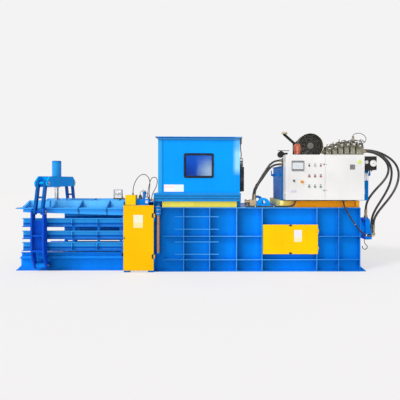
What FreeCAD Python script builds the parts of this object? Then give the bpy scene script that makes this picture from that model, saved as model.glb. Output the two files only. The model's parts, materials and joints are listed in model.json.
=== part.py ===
"""Horizontal baling press with an open, squeezed exit chute.

Millimetres, +Z up. The exit is at -X, the power unit at +X, and the side with the controls is -Y.
The origin is on the floor under the middle of the machine. "Near" is the -Y side, "far" the +Y side.
"""
import FreeCAD
import Part
import math
import os

V = FreeCAD.Vector

# ---------------------------------------------------------------- whole machine
exit_length = 3130.0          # from the origin to the tip of the exit foot
chamber_half_width = 550.0    # inner face of the side walls
chamber_height = 809.0        # floor to roof, inside
floor_top = 241.0             # height of the bale channel's floor
floor_plate = 26.0
roof_plate = 20.0
wall_plate = 20.0
rib_depth = 85.0
rib_plate = 12.0
running_gap = 0.3             # between faces that pass each other
pin_fit = 0.05                # radial, pin in its bore
side_gap = 5.0                # between a moving plate and the one beside it

wall_top = floor_top + chamber_height + roof_plate
wall_outer = chamber_half_width + wall_plate
rib_outer = wall_outer + rib_depth

# ---------------------------------------------------------------- stations along the machine
frame_start = -1300.0         # tying frame, exit side
frame_end = -800.0            # tying frame, chamber side
body_end = 2645.0
rib_stations = (-313.0, 120.0, 570.0, 995.0, 1912.0, 2278.0)
horizontal_rib_heights = (192.0, 583.0)
wire_heights = (292.0, 497.0, 708.0, 917.0)
wire_strip_ends = (-463.0, 270.0)
wire_strip = 14.0
wire_slot = 22.0
lug_x = 1036.0                # lifting lugs on the rear roof
lug_y = 480.0
lug_radius = 117.0
lug_plate = 24.0
lug_eye = 32.0

# ---------------------------------------------------------------- tying frame and its guards
column_width = 100.0
column_outer = 690.0
frame_beam_height = 100.0
tube_wall = 10.0
door_sheet = 4.0
door_depth = 22.0
door_bottom = 34.0
door_top = wall_top + 39.0
post_start = -1270.0
post_width = 170.0
post_top = door_top + 168.0
post_depth = 150.0
tying_block_top = wall_top + 135.0
wire_cylinder_place = (-975.0, -600.0)
wire_cylinder_top = tying_block_top + 125.0
roller_low = 318.0            # wire roller between its two sockets
roller_top = 943.0
roller_radius = 29.0
roller_spindle = 12.0
hinge_radius = 9.0
hinge_pin_radius = 4.5
hinge_knuckle = 60.0
wheel_hinge = (-1270.0, -200.0)
wheel_reach = 245.0           # from the arm's hinge to the wheel's axle
wheel_rise = 88.0
wheel_teeth = 12

# ---------------------------------------------------------------- exit chute
chute_end = -3010.0
rail_end = -3070.0
rail_outer = 560.0
rail_width = 120.0
rail_height = 215.0
rail_flange = 15.0
rail_web = 12.0
foot_height = 95.0
curb_height = 72.0
curb_thickness = 45.0
curb_wall = 8.0
bar_heights = ((337.0, 481.0), (535.0, 673.0), (737.0, 883.0))
bar_depth = 55.0
bar_web = 10.0
bar_flange = 10.0
bar_stiffeners = (-2190.0, -1770.0)
bar_hinge_x = -1330.0
bar_hinge_radius = 24.0
bar_pin_radius = 14.0
far_liner_start = -2620.0
far_bars_end = -2750.0        # the far side stops short of the near one

# ---------------------------------------------------------------- press plate
press_thickness = 20.0
press_underside = wall_top - 35.0
press_half_width = 600.0
press_gap = 20.0              # to the tying frame
press_lip_exit = 55.0         # how far the side lips reach down, exit end
press_lip_frame = 105.0       # the same at the frame end
lip_plate = 14.0
spine_y = 370.0
spine_height = 115.0
spine_plate = 16.0
press_gussets = (-2085.0, -1615.0)
gusset_plate = 14.0
press_hinge_x = -1338.0
press_hinge_z = wall_top + 50.0
press_pin_radius = 22.0

# ---------------------------------------------------------------- squeeze gear
squeeze_x = -2680.0
side_plate = 25.0             # thickness of yoke and lever plates
side_plate_inner = 82.0       # their inner faces from the gear's middle plane
link_plate = 35.0
yoke_low = wall_top + 330.0
yoke_high = yoke_low + 185.0
yoke_half_width = 645.0
yoke_chamfer_y = 130.0
yoke_chamfer_z = 95.0
yoke_pin_y = 600.0
yoke_pin_z = yoke_low + 70.0
lever_pin_y = 720.0
lever_pin_z = yoke_pin_z - 470.0
lever_pivot_y = 622.0
lever_pivot_z = 105.0
lever_tie_radius = 18.0
lever_tie_heights = (360.0, 610.0)
pin_radius = 25.0
pin_head = 10.0
link_play = 0.6               # in the eye where the linkage is opened
link_half_width = 40.0
eye_radius = 48.0
squeeze_bore_radius = 62.0
squeeze_barrel_radius = 79.0
squeeze_barrel_top = yoke_high + 275.0
squeeze_rod_radius = 35.0
squeeze_seat = 40.0
clevis_pin_z = press_underside + 100.0
clevis_pin_radius = 22.0
clevis_play = 1.4
clevis_ear = 25.0
clevis_gap = 38.0

# ---------------------------------------------------------------- ram and main cylinder
ram_face_x = 700.0
ram_length = 620.0
ram_side_gap = 4.0
ram_shoe = 12.0
ram_face_plate = 45.0
ram_skin = 16.0
ram_tail_length = 1380.0
main_axis_z = 645.0
main_barrel_radius = 140.0
main_bore_radius = 110.0
main_rod_radius = 75.0
barrel_front = 1120.0
end_plate = 45.0
tail_start = body_end + 275.0
tail_half_width = 170.0
tail_step = 85.0              # length of the tall part of the tail block
tail_rise = 185.0             # its top above the cylinder's axis
tail_drop = 190.0             # its underside below the axis
shelf_rise = 5.0              # top of the low part above the axis
shelf_half_width = 120.0
shelf_end = tail_start + 135.0
shelf_slope = 98.0            # height of the sloped top edges
shelf_slope_width = 50.0
tower_chamfer = 30.0
port_radius = 26.0
port_depth = 40.0
top_port = (tail_start + 46.0, -60.0)
end_port_ys = (25.0, -65.0)
elbow_z = main_axis_z - 100.0
elbow_half = 24.0             # half of the forged elbow block's edge
elbow_x = shelf_end + 51.0
fitting_height = 110.0        # hose end above its port

# ---------------------------------------------------------------- access cover
cover_start = 1007.0
cover_end = 1925.0
cover_bottom = 295.0
cover_top = 787.0
cover_depth = 14.0
cover_sheet = 4.0
cover_gap = 1.0

# ---------------------------------------------------------------- hopper
hopper_start = -742.0
hopper_end = 616.0
hopper_half_width = 600.0
hopper_sheet = 8.0
feed_slot = 100.0             # from the walls to the sills, where the feed bars lie
sill_height = 137.0
sill_top = wall_top + feed_slot + sill_height
sill_start = -820.0
sill_end = 640.0
sill_outer = 625.0
sill_grooves = (34.0, 80.0)   # above the sills' underside
sill_groove_height = 15.0
sill_groove_depth = 34.0
hopper_top = sill_top + 943.0
rim_width = 46.0
rim_thickness = 16.0
corner_strip = 80.0
corner_thickness = 6.0
rim_strip = 36.0              # folded strip just under the rim
window_start = -309.0
window_end = 175.0
window_bottom = sill_top + 265.0
window_top = window_bottom + 394.0
window_radius = 24.0
seal_width = 26.0
seal_overlap = 10.0           # seal past the window opening, on both faces of the sheet
seal_inner_radius = 10.0
seal_proud = 8.0
pane_bite = 14.0              # pane's edge inside the opening
pane_thickness = 6.0
feed_bar_start = -680.0
feed_bar_end = 575.0
feed_bar_width = 50.0
sensor_box_ys = (-520.0, -380.0)
sensor_box_zs = (sill_top + 453.0, sill_top + 593.0)

# ---------------------------------------------------------------- power unit
base_start = 1300.0
base_height = 110.0
base_half_width = 600.0
channel_wall = 10.0
channel_flange = 60.0
tank_start = 1349.0
tank_end = 2852.0
tank_near = -450.0
tank_far = 450.0
tank_top = wall_top + base_height + 590.0
tank_lid = 12.0
tank_wall = 8.0
tank_lid_lip = 18.0
motor_x = 1900.0
motor_z = tank_top + 366.0
motor_radius = 190.0
motor_cowl_radius = 223.0
motor_near = -250.0
cowl_depth = 150.0
motor_length = 470.0
motor_fins = 20
guard_rings = 6
guard_flats = 30
guard_spokes = 8
fan_blades = 9
fan_radius = 190.0
fan_depth = 48.0
pump_radius = 95.0
cabinet_start = 1372.0
cabinet_end = 2682.0
cabinet_bottom = wall_top + 130.0
cabinet_top = cabinet_bottom + 750.0
cabinet_front = -720.0
cabinet_back = -480.0
cabinet_sheet = 4.0
cabinet_door = 20.0
button_columns = (1764.0, 1861.0, 1955.0)
lamp_height = cabinet_bottom + 568.0
button_rows = (("stop", cabinet_bottom + 394.0), ("start", cabinet_bottom + 221.0))
button_names = ("pump", "ram", "squeeze")
button_radius = 13.0
button_hole = 11.0
button_travel = 5.0
button_nut = 15.0             # corner radius of the nut behind the door
selector_place = (1512.0, cabinet_bottom + 318.0)
estop_place = (1644.0, cabinet_bottom + 301.0)
estop_radius = 21.0
screen_box = (1471.0, 1678.0, cabinet_bottom + 480.0, cabinet_bottom + 650.0)
valve_block_top = tank_top + 225.0
valve_end = 2880.0
valve_start = 2180.0
valve_pitch = 108.0
valve_steps = (0.0, 34.0, 66.0, 78.0, 78.0, 52.0)   # how much taller each valve is than the first
sensor_tower_x = 2752.0
sensor_tower_top = valve_block_top + 323.0
beacon_place = (1597.0, -560.0)
beacon_profile = ((0.0, 50.0), (62.0, 50.0), (62.0, 62.0), (152.0, 62.0), (192.0, 36.0), (192.0, 0.0))
gauge_box_end = 2910.0
gauge_box_ys = (-660.0, -490.0)
gauge_box_low = tank_top - 70.0
gauge_box_top = tank_top + 160.0
gauge_place = (2845.0, tank_top + 42.0)
gauge_radius = 58.0
return_block_x = 1385.0
return_block_y = -350.0
return_block_height = 145.0
ball_valve_z = tank_top + return_block_height + 60.0
return_ends = ((872.0, -405.0), (888.0, -455.0))
return_end_z = wall_top + 160.0
manifold_start = 800.0        # tan fitting on the roof
manifold_y = -430.0

# ---------------------------------------------------------------- hoses and cables
pressure_hose = 40.0
return_hose = 34.0
tying_cable = 12.0
conduit = 25.0
cord_sides = 8


# ---------------------------------------------------------------- small helpers
def box(x0, x1, y0, y1, z0, z1):
    return Part.makeBox(x1 - x0, y1 - y0, z1 - z0, V(x0, y0, z0))


def rod(radius, start, end):
    along = end.sub(start)
    return Part.makeCylinder(radius, along.Length, start, along)


def pipe(outer, inner, start, end):
    return rod(outer, start, end).cut(rod(inner, start, end))


def join(shapes):
    return shapes[0].multiFuse(shapes[1:]).removeSplitter()


def outline(points, along):
    """A flat face from corner points, pushed along a vector."""
    return Part.Face(Part.makePolygon(points + [points[0]])).extrude(along)


def plate_yz(corners, x0, x1):
    return outline([V(x0, y, z) for y, z in corners], V(x1 - x0, 0, 0))


def plate_xz(corners, y0, y1):
    return outline([V(x, y0, z) for x, z in corners], V(0, y1 - y0, 0))


def plate_xy(corners, z0, z1):
    return outline([V(x, y, z0) for x, y in corners], V(0, 0, z1 - z0))


def across(shape):
    """The same piece on the other side of the machine."""
    return shape.mirror(V(0, 0, 0), V(0, 1, 0))


def both_sides(shape):
    return [shape, across(shape)]


def hollow_bar(x0, x1, y0, y1, z0, z1, wall, along):
    """A rectangular tube, open at both ends along the named axis."""
    inset = {"x": (0, wall, wall), "y": (wall, 0, wall), "z": (wall, wall, 0)}[along]
    inner = box(x0 + inset[0], x1 - inset[0], y0 + inset[1], y1 - inset[1], z0 + inset[2], z1 - inset[2])
    return box(x0, x1, y0, y1, z0, z1).cut(inner)


def channel(x0, x1, z0, z1, inner_y, depth, web, flange):
    """A channel along X on the near side, its mouth facing out."""
    body = box(x0, x1, -inner_y - depth, -inner_y, z0, z1)
    mouth = box(x0, x1, -inner_y - depth, -inner_y - web, z0 + flange, z1 - flange)
    return body.cut(mouth)


def round_window(x0, x1, z0, z1, radius, y0, y1):
    """A block with a rounded outline in X and Z, pushed along Y."""
    block = box(x0, x1, y0, y1, z0, z1)
    corners = [edge for edge in block.Edges if abs(edge.tangentAt(0).y) > 0.99]
    return block.makeFillet(radius, corners)


def cord_section(centre, along, radius):
    """A cord's section, drawn with few flats."""
    sideways = along.cross(V(0.31, 0.95, 0.02)).normalize().multiply(radius)
    upward = along.cross(sideways)
    corners = []
    for k in range(cord_sides + 1):
        angle = 2 * math.pi * k / cord_sides
        corners.append(centre.add(V(sideways).multiply(math.cos(angle))).add(V(upward).multiply(math.sin(angle))))
    corners[-1] = corners[0]
    return Part.makePolygon(corners)


def cord(name, points, diameter):
    """A hose along straight runs joined by tangent arcs, as large as the runs allow."""
    edges = []
    start = points[0]
    radii = []
    for before, corner, after in zip(points, points[1:], points[2:]):
        back = before.sub(corner)
        ahead = after.sub(corner)
        turn = math.pi - back.getAngle(ahead)
        reach = 0.45 * min(back.Length, ahead.Length)
        radii.append(reach / math.tan(turn / 2))
        enter = corner.add(V(back).normalize().multiply(reach))
        leave = corner.add(V(ahead).normalize().multiply(reach))
        bisector = V(back).normalize().add(V(ahead).normalize()).normalize()
        centre_distance = radii[-1] / math.cos(turn / 2)
        middle = corner.add(bisector.multiply(centre_distance - radii[-1]))
        edges.append(Part.LineSegment(start, enter).toShape())
        edges.append(Part.Arc(enter, middle, leave).toShape())
        start = leave
    edges.append(Part.LineSegment(start, points[-1]).toShape())
    path = Part.Wire(edges)
    section = cord_section(points[0], points[1].sub(points[0]).normalize(), diameter / 2)
    tube = path.makePipeShell([section], True, False)
    expected = Part.Face(section).Area * path.Length
    print(f"{name}: length {path.Length:.0f}, radii {[round(r) for r in radii]},"
          f" volume ratio {tube.Volume / expected:.4f}")
    return tube


# ---------------------------------------------------------------- welded body
def side_wall(access):
    """Near side wall: plate, upright and level ribs, and the four wire strips."""
    pieces = [
        box(frame_end, body_end, -wall_outer, -chamber_half_width, 0, wall_top),
        box(frame_end, body_end, -rib_outer, -wall_outer, wall_top - rib_plate, wall_top),
        box(frame_end, body_end, -rib_outer, -wall_outer, 0, rib_plate),
    ]
    uprights = [body_end - rib_plate] + [x - rib_plate / 2 for x in rib_stations]
    for x in uprights:
        pieces.append(box(x, x + rib_plate, -rib_outer, -wall_outer, 0, wall_top))
    first_rib = rib_stations[0]
    low_rib, mid_rib = horizontal_rib_heights
    pieces.append(box(first_rib, body_end, -rib_outer, -wall_outer, low_rib, low_rib + rib_plate))
    bays = ((first_rib, rib_stations[3]), (rib_stations[4], body_end))
    if not access:
        bays = ((first_rib, body_end),)
    for x0, x1 in bays:
        pieces.append(box(x0, x1, -rib_outer, -wall_outer, mid_rib, mid_rib + rib_plate))
    recess_start = frame_end + 150
    for z in (low_rib, mid_rib):
        pieces.append(box(recess_start, first_rib, -rib_outer, -wall_outer, z, z + rib_plate))
    for z in wire_heights:
        pieces.append(box(wire_strip_ends[0], wire_strip_ends[1], -rib_outer - wire_strip / 2, -rib_outer,
                          z - wire_strip / 2, z + wire_strip / 2))
    wall = join(pieces)
    if access:
        frame_x0 = rib_stations[3] + rib_plate / 2
        frame_x1 = rib_stations[4] - rib_plate / 2
        shelves = [box(frame_x0, frame_x1, -rib_outer, -wall_outer, z, z + rib_plate)
                   for z in (cover_bottom + 4, cover_top - 4 - rib_plate)]
        wall = join([wall] + shelves)
        wall = wall.cut(box(frame_x0 + 20, frame_x1 - 20, -wall_outer - 1, 0,
                            cover_bottom + rib_plate + 24, cover_top - rib_plate - 24))
    return join([wall, foot_gusset()])


def foot_gusset():
    """A foot plate with an upright triangle at the body's rear corner."""
    y, half_width = -rib_outer + 60, 55
    plate = box(body_end, body_end + foot_height, y - half_width, y + half_width, 0, rail_flange)
    web = plate_xz([(body_end, rail_flange), (body_end + foot_height, rail_flange), (body_end, foot_height)],
                   y - rib_plate / 2, y + rib_plate / 2)
    return join([plate, web])


def chamber_floor():
    """Floor of the chamber on cross beams, with two rails for the ram's shoes."""
    pieces = [box(frame_end, body_end - end_plate, -chamber_half_width, chamber_half_width,
                  floor_top - floor_plate, floor_top)]
    for x in (-500, 100, 700, 1300, 1900, 2400):
        pieces.append(hollow_bar(x, x + 80, -chamber_half_width, chamber_half_width, 60,
                                 floor_top - floor_plate, tube_wall, "y"))
    return join(pieces)


def rear_roof():
    """Roof behind the feed opening, with a half-round lifting lug at each side."""
    roof_z = wall_top - roof_plate
    pieces = [box(hopper_end + 20, body_end - end_plate, -chamber_half_width, chamber_half_width,
                  roof_z, wall_top)]
    x, r, foot, eye_z = lug_x, lug_radius, wall_top + 38, wall_top + 78
    for y in (-lug_y, lug_y - lug_plate):
        arch = rod(r, V(x, y, foot), V(x, y + lug_plate, foot))
        upper = box(x - r, x + r, y, y + lug_plate, foot, foot + r)
        base = box(x - r, x + r, y, y + lug_plate, wall_top, foot)
        eye = rod(lug_eye, V(x, y - 1, eye_z), V(x, y + lug_plate + 1, eye_z))
        pieces.append(join([arch.common(upper), base]).cut(eye))
    return join(pieces)


def rear_end_frame():
    """Thick end plate that takes the main cylinder's thrust, with upright stiffeners."""
    plate = box(body_end - end_plate, body_end, -chamber_half_width, chamber_half_width, 0, wall_top)
    ribs = [box(body_end, body_end + 60, y, y + 20, 0, wall_top - 40) for y in (-420, -240, 220, 400)]
    ties = [box(body_end, body_end + 60, -420, 420, z, z + 20) for z in (300, wall_top - 100)]
    frame = join([plate] + ribs + ties)
    hole = rod(main_barrel_radius + pin_fit, V(body_end - end_plate - 1, 0, main_axis_z),
               V(body_end + 61, 0, main_axis_z))
    return frame.cut(hole)


def tying_frame():
    """Two heavy portals round the channel, joined by slotted side plates, a roof and a floor."""
    pieces = []
    beam_top = wall_top + frame_beam_height
    for x0 in (frame_start, frame_end - column_width):
        x1 = x0 + column_width
        column = hollow_bar(x0, x1, -column_outer, -wall_outer, 0, wall_top, tube_wall, "z")
        pieces += both_sides(column)
        pieces.append(hollow_bar(x0, x1, -column_outer, column_outer, wall_top, beam_top, tube_wall, "y"))
        pieces.append(hollow_bar(x0, x1, -wall_outer, wall_outer, 0, floor_top - floor_plate, tube_wall, "y"))
    side = box(frame_start, frame_end, -wall_outer, -chamber_half_width, floor_top - floor_plate, wall_top)
    for z in wire_heights:
        side = side.cut(box(frame_start + column_width + 40, frame_end - column_width - 40,
                            -wall_outer - 1, -chamber_half_width + 1, z - wire_slot / 2, z + wire_slot / 2))
    pieces += both_sides(side)
    pieces.append(box(frame_start, sill_start + 80, -chamber_half_width, chamber_half_width,
                      wall_top - roof_plate, wall_top))
    pieces.append(box(frame_start, frame_end, -chamber_half_width, chamber_half_width,
                      floor_top - floor_plate, floor_top))
    frame = join(pieces)
    ears = []
    for y in (-spine_y, spine_y):
        for y0 in (y - spine_plate / 2 - side_gap - 20, y + spine_plate / 2 + side_gap):
            ear = plate_xz([(frame_start, wall_top + 5), (press_hinge_x - 8, press_hinge_z - 38),
                            (press_hinge_x - 8, press_hinge_z + 38), (frame_start, beam_top - 5)], y0, y0 + 20)
            tip = rod(38, V(press_hinge_x, y0, press_hinge_z), V(press_hinge_x, y0 + 20, press_hinge_z))
            ears.append(join([ear, tip]))
        ears.append(rod(press_pin_radius, V(press_hinge_x, y - 48, press_hinge_z),
                        V(press_hinge_x, y + 48, press_hinge_z)))
    pins = both_sides(bar_hinge_post())
    hinge_leaf = both_sides(door_hinge_leaf())
    return join([frame] + ears + pins + hinge_leaf)


def bar_hinge_post():
    """Upright pin on the tying frame that a side of the chute turns on, in two lugs."""
    pin_y = -chamber_half_width - bar_depth / 2
    low, high = bar_heights[0][0] - 2, bar_heights[-1][1] + 2
    pieces = [rod(bar_pin_radius, V(bar_hinge_x, pin_y, low - 20), V(bar_hinge_x, pin_y, high + 20))]
    for z in (low - 20, high):
        pieces.append(box(bar_hinge_x - 26, frame_start, pin_y - 22, pin_y + 22, z, z + 20))
    return join(pieces)


def door_axis():
    return frame_end + 10, -column_outer - door_depth / 2 - 2


def door_hinge_heights():
    return door_bottom + 140, door_top - 260


def door_hinge_leaf():
    """The frame's half of the guard door's two hinges: leaf, knuckle and pin."""
    x, y = door_axis()
    pieces = []
    for z in door_hinge_heights():
        knuckle = rod(hinge_radius, V(x, y, z), V(x, y, z + hinge_knuckle))
        pin = rod(hinge_pin_radius, V(x, y, z), V(x, y, z + 2 * hinge_knuckle))
        leaf = box(frame_end - 20, x, -column_outer - 4, -column_outer, z, z + hinge_knuckle)
        web = box(x - 3, x + 3, y, -column_outer, z, z + hinge_knuckle)
        pieces.append(join([knuckle, pin, leaf, web]))
    return Part.makeCompound(pieces)


def guard_door():
    """Folded yellow sheet over the tying gear, with its halves of the two hinges."""
    x, y = door_axis()
    front = -column_outer - 2 - door_depth
    x0, x1 = frame_start, frame_end - 4
    back = front + door_depth + 1
    pan = box(x0, x1, front, front + door_depth, door_bottom, door_top)
    pan = pan.cut(box(x0 + door_sheet, x1 - door_sheet, front + door_sheet, back,
                      door_bottom + door_sheet, door_top - door_sheet))
    halves = []
    for z in door_hinge_heights():
        pan = pan.cut(box(x1 - 24, x1 + 1, front + door_sheet, back, z - 2, z + 2 * hinge_knuckle + 4))
        z0 = z + hinge_knuckle + 1
        knuckle = rod(hinge_radius, V(x, y, z0), V(x, y, z0 + hinge_knuckle))
        leaf = box(x1 - 30, x, front + door_sheet, front + door_sheet + 3, z0, z0 + hinge_knuckle)
        bore = rod(hinge_pin_radius + pin_fit, V(x, y, z0 - 1), V(x, y, z0 + hinge_knuckle + 1))
        halves.append(join([knuckle, leaf]).cut(bore))
    return join([pan] + halves)


def guard_post():
    """Yellow fixed box above the door, open at the back."""
    x1 = post_start + post_width
    front = -column_outer - 24
    z0 = door_top + 6
    shell = box(post_start, x1, front, front + post_depth, z0, post_top)
    inner = box(post_start + door_sheet, x1 - door_sheet, front + door_sheet, front + post_depth + 1,
                z0 - 1, post_top - door_sheet)
    beam = box(frame_start, frame_start + column_width, -column_outer, 0, wall_top, wall_top + frame_beam_height)
    return shell.cut(inner).cut(beam)


def chute_base():
    """Exit end of the base: two I-beams, cross beams, floor, curbs, feet and the levers' lower pins."""
    pieces = []
    y0, y1 = -rail_outer, -rail_outer + rail_width
    web_y = (y0 + y1) / 2
    rail = [box(rail_end, frame_start, y0, y1, 0, rail_flange),
            box(rail_end, frame_start, y0, y1, rail_height - rail_flange, rail_height),
            box(rail_end, frame_start, web_y - rail_web / 2, web_y + rail_web / 2, rail_flange,
                rail_height - rail_flange)]
    reach = exit_length + rail_end
    tip = -exit_length
    foot = [box(tip, rail_end, y0, y1, 0, rail_flange),
            plate_xz([(rail_end, rail_flange), (tip, rail_flange), (rail_end, rail_flange + reach)],
                     web_y - rail_web / 2, web_y + rail_web / 2)]
    pieces += both_sides(join(rail + foot))
    for x in (rail_end, -2400.0, -1900.0, frame_start - 80):
        pieces.append(hollow_bar(x, x + 80, web_y + rail_web / 2, -web_y - rail_web / 2, rail_flange + 40,
                                 rail_height, tube_wall, "y"))
    curb_start = chute_end - 20
    pieces.append(box(curb_start, frame_start, -chamber_half_width - bar_depth, chamber_half_width + bar_depth,
                      rail_height, floor_top))
    curb = channel(curb_start, frame_start - 60, floor_top, floor_top + curb_height, chamber_half_width + 6,
                   curb_thickness, curb_wall, curb_wall)
    pieces += both_sides(curb)
    pieces += both_sides(lever_seat())
    return join(pieces)


def lever_seat():
    """Bracket between the rail and the lever's plates, with the pin that the lever turns on."""
    half = side_plate_inner - side_gap
    web_face = -rail_outer + (rail_width - rail_web) / 2
    block = box(squeeze_x - half, squeeze_x + half, -lever_pivot_y, web_face, lever_pivot_z - 45,
                lever_pivot_z + 45)
    nose = rod(45, V(squeeze_x - half, -lever_pivot_y, lever_pivot_z), V(squeeze_x + half, -lever_pivot_y,
                                                                        lever_pivot_z))
    reach = side_plate_inner + side_plate + pin_head
    pin = rod(pin_radius, V(squeeze_x - reach, -lever_pivot_y, lever_pivot_z),
              V(squeeze_x + reach, -lever_pivot_y, lever_pivot_z))
    return join([block, nose, pin])


def side_bars(x0, with_liner):
    """One side of the chute from x0: three channels with stiffeners, tied at the hinge end."""
    x1 = bar_hinge_x
    pin_y = -chamber_half_width - bar_depth / 2
    pieces = []
    for z0, z1 in bar_heights:
        pieces.append(channel(x0, x1 - 20, z0, z1, chamber_half_width, bar_depth, bar_web, bar_flange))
        for x in bar_stiffeners:
            pieces.append(box(x, x + 12, -chamber_half_width - bar_depth, -chamber_half_width - bar_web,
                              z0 + bar_flange, z1 - bar_flange))
        knuckle = rod(bar_hinge_radius, V(x1, pin_y, z0), V(x1, pin_y, z1))
        pieces.append(knuckle)
        pieces.append(box(x1 - 21, x1, pin_y - bar_hinge_radius, pin_y + bar_hinge_radius, z0, z1))
    low, high = bar_heights[0][0], bar_heights[-1][1]
    for x in (x1 - 70,) + bar_stiffeners:
        pieces.append(box(x, x + 40, -chamber_half_width - bar_web, -chamber_half_width, low, high))
    if with_liner:
        pieces.append(box(far_liner_start, x1 - 30, -chamber_half_width - bar_web, -chamber_half_width,
                          low, high))
    bars = join(pieces)
    return bars.cut(rod(bar_pin_radius + pin_fit, V(x1, pin_y, low - 1), V(x1, pin_y, high + 1)))


def press_plate():
    """Top plate of the chute with two spines, gussets, side lips and the rod's clevis."""
    x0, x1 = chute_end, frame_start - press_gap
    top = press_underside + press_thickness
    spine_top = top + spine_height
    tip = -exit_length
    pieces = [box(x0, x1, -press_half_width, press_half_width, press_underside, top),
              plate_xz([(x0, press_underside), (tip + 10, press_underside + 8), (tip + 10, top),
                        (x0, top)], -press_half_width, press_half_width)]
    spine = plate_xz([(tip + 16, top), (x1 + 4, top), (press_hinge_x + 30, press_hinge_z - 14),
                      (press_hinge_x, spine_top), (tip + 130, spine_top)],
                     -spine_y - spine_plate / 2, -spine_y + spine_plate / 2)
    boss = rod(38, V(press_hinge_x, -spine_y - spine_plate / 2, press_hinge_z),
               V(press_hinge_x, -spine_y + spine_plate / 2, press_hinge_z))
    spine = join([spine, boss])
    hole = rod(press_pin_radius + pin_fit, V(press_hinge_x, -spine_y - 50, press_hinge_z),
               V(press_hinge_x, -spine_y + 50, press_hinge_z))
    pieces += both_sides(spine.cut(hole))
    cross_stations = press_gussets + (x0 + 480, x0 + 20)
    for x in cross_stations:
        inner = spine_y - spine_plate / 2
        pieces.append(box(x, x + gusset_plate, -inner, inner, top, spine_top - 20))
        gusset = plate_yz([(-spine_y - spine_plate / 2, top), (-press_half_width + 10, top),
                           (-spine_y - spine_plate / 2, spine_top - 2)], x, x + gusset_plate)
        pieces += both_sides(gusset)
    lip = plate_xz([(x0, press_underside), (x0, press_underside - press_lip_exit),
                    (x1, press_underside - press_lip_frame), (x1, press_underside)],
                   -chamber_half_width - lip_plate, -chamber_half_width)
    pieces += both_sides(lip)
    for x in press_gussets:
        bracket = plate_yz([(-chamber_half_width - lip_plate, press_underside),
                            (-press_half_width, press_underside),
                            (-chamber_half_width - lip_plate, press_underside - 60)], x - 20, x - 8)
        pieces += both_sides(bracket)
    for y0 in (-clevis_gap - clevis_ear, clevis_gap):
        ear = join([box(squeeze_x - 60, squeeze_x + 60, y0, y0 + clevis_ear, top, clevis_pin_z - 20),
                    rod(46, V(squeeze_x, y0, clevis_pin_z), V(squeeze_x, y0 + clevis_ear, clevis_pin_z)),
                    box(squeeze_x - 46, squeeze_x + 46, y0, y0 + clevis_ear, clevis_pin_z - 40, clevis_pin_z)])
        pieces.append(ear)
    reach = clevis_gap + clevis_ear + pin_head
    pieces.append(rod(clevis_pin_radius, V(squeeze_x, -reach, clevis_pin_z), V(squeeze_x, reach, clevis_pin_z)))
    return join(pieces)


# ---------------------------------------------------------------- squeeze gear
def gear_plates(corners, eyes, holes):
    """A pair of equal plates across the machine, with round eyes and pin holes."""
    pair = []
    for offset in (-side_plate_inner - side_plate, side_plate_inner):
        x0 = squeeze_x + offset
        x1 = x0 + side_plate
        solid = join([plate_yz(corners, x0, x1)]
                     + [rod(r, V(x0, y, z), V(x1, y, z)) for y, z, r in eyes])
        for y, z, r in holes:
            solid = solid.cut(rod(r, V(x0 - 1, y, z), V(x1 + 1, y, z)))
        pair.append(solid)
    return pair


def gear_pin(y, z):
    reach = side_plate_inner + side_plate + pin_head
    return rod(pin_radius, V(squeeze_x - reach, y, z), V(squeeze_x + reach, y, z))


def yoke():
    """Cross head of two chamfered plates, tied by a seat for the cylinder and by end spacers."""
    w, low, high = yoke_half_width, yoke_low, yoke_high
    corners = [(-w, low + 40), (-w + 40, low), (w - 40, low), (w, low + 40), (w, high - yoke_chamfer_z),
               (w - yoke_chamfer_y, high), (-w + yoke_chamfer_y, high), (-w, high - yoke_chamfer_z)]
    pieces = gear_plates(corners, [], [])
    inner = side_plate_inner
    seat = box(squeeze_x - inner, squeeze_x + inner, -170, 170, low, low + squeeze_seat)
    bore = rod(squeeze_rod_radius + 2, V(squeeze_x, 0, low - 1), V(squeeze_x, 0, low + squeeze_seat + 1))
    pieces.append(seat.cut(bore))
    for y in (-430, 410):
        pieces.append(box(squeeze_x - inner, squeeze_x + inner, y, y + 20, low + 10, high - 10))
    for y in (-yoke_pin_y, yoke_pin_y):
        pieces.append(gear_pin(y, yoke_pin_z))
    return join(pieces)


def squeeze_barrel():
    """Upright cylinder barrel with a foot flange, an end cap and two oil ports."""
    low = yoke_low + squeeze_seat
    centre = (squeeze_x, 0)
    outer = rod(squeeze_barrel_radius, V(*centre, low), V(*centre, squeeze_barrel_top))
    foot = box(squeeze_x - squeeze_barrel_radius, squeeze_x + squeeze_barrel_radius, -120, 120, low, low + 28)
    cap = rod(squeeze_barrel_radius - 6, V(*centre, squeeze_barrel_top), V(*centre, squeeze_barrel_top + 8))
    ports = [rod(16, V(squeeze_x, squeeze_barrel_radius - 10, z), V(squeeze_x, squeeze_barrel_radius + 24, z))
             for z in (yoke_high + 60, squeeze_barrel_top - 40)]
    body = join([outer, foot, cap] + ports)
    bore = rod(squeeze_bore_radius, V(*centre, low + 60), V(*centre, squeeze_barrel_top - 30))
    neck = rod(squeeze_rod_radius + pin_fit, V(*centre, low - 1), V(*centre, low + 61))
    return body.cut(bore).cut(neck)


def squeeze_rod():
    """Rod with its piston inside the barrel and an eye at the foot."""
    top = squeeze_barrel_top - 45
    low = clevis_pin_z + 30
    shaft = rod(squeeze_rod_radius, V(squeeze_x, 0, low), V(squeeze_x, 0, top))
    piston = rod(squeeze_bore_radius - 0.1, V(squeeze_x, 0, top - 70), V(squeeze_x, 0, top))
    half = clevis_gap - side_gap
    eye = rod(42, V(squeeze_x, -half, clevis_pin_z), V(squeeze_x, half, clevis_pin_z))
    hole = rod(clevis_pin_radius + clevis_play, V(squeeze_x, -half - 1, clevis_pin_z),
               V(squeeze_x, half + 1, clevis_pin_z))
    return join([shaft, piston, eye]).cut(hole)


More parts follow.
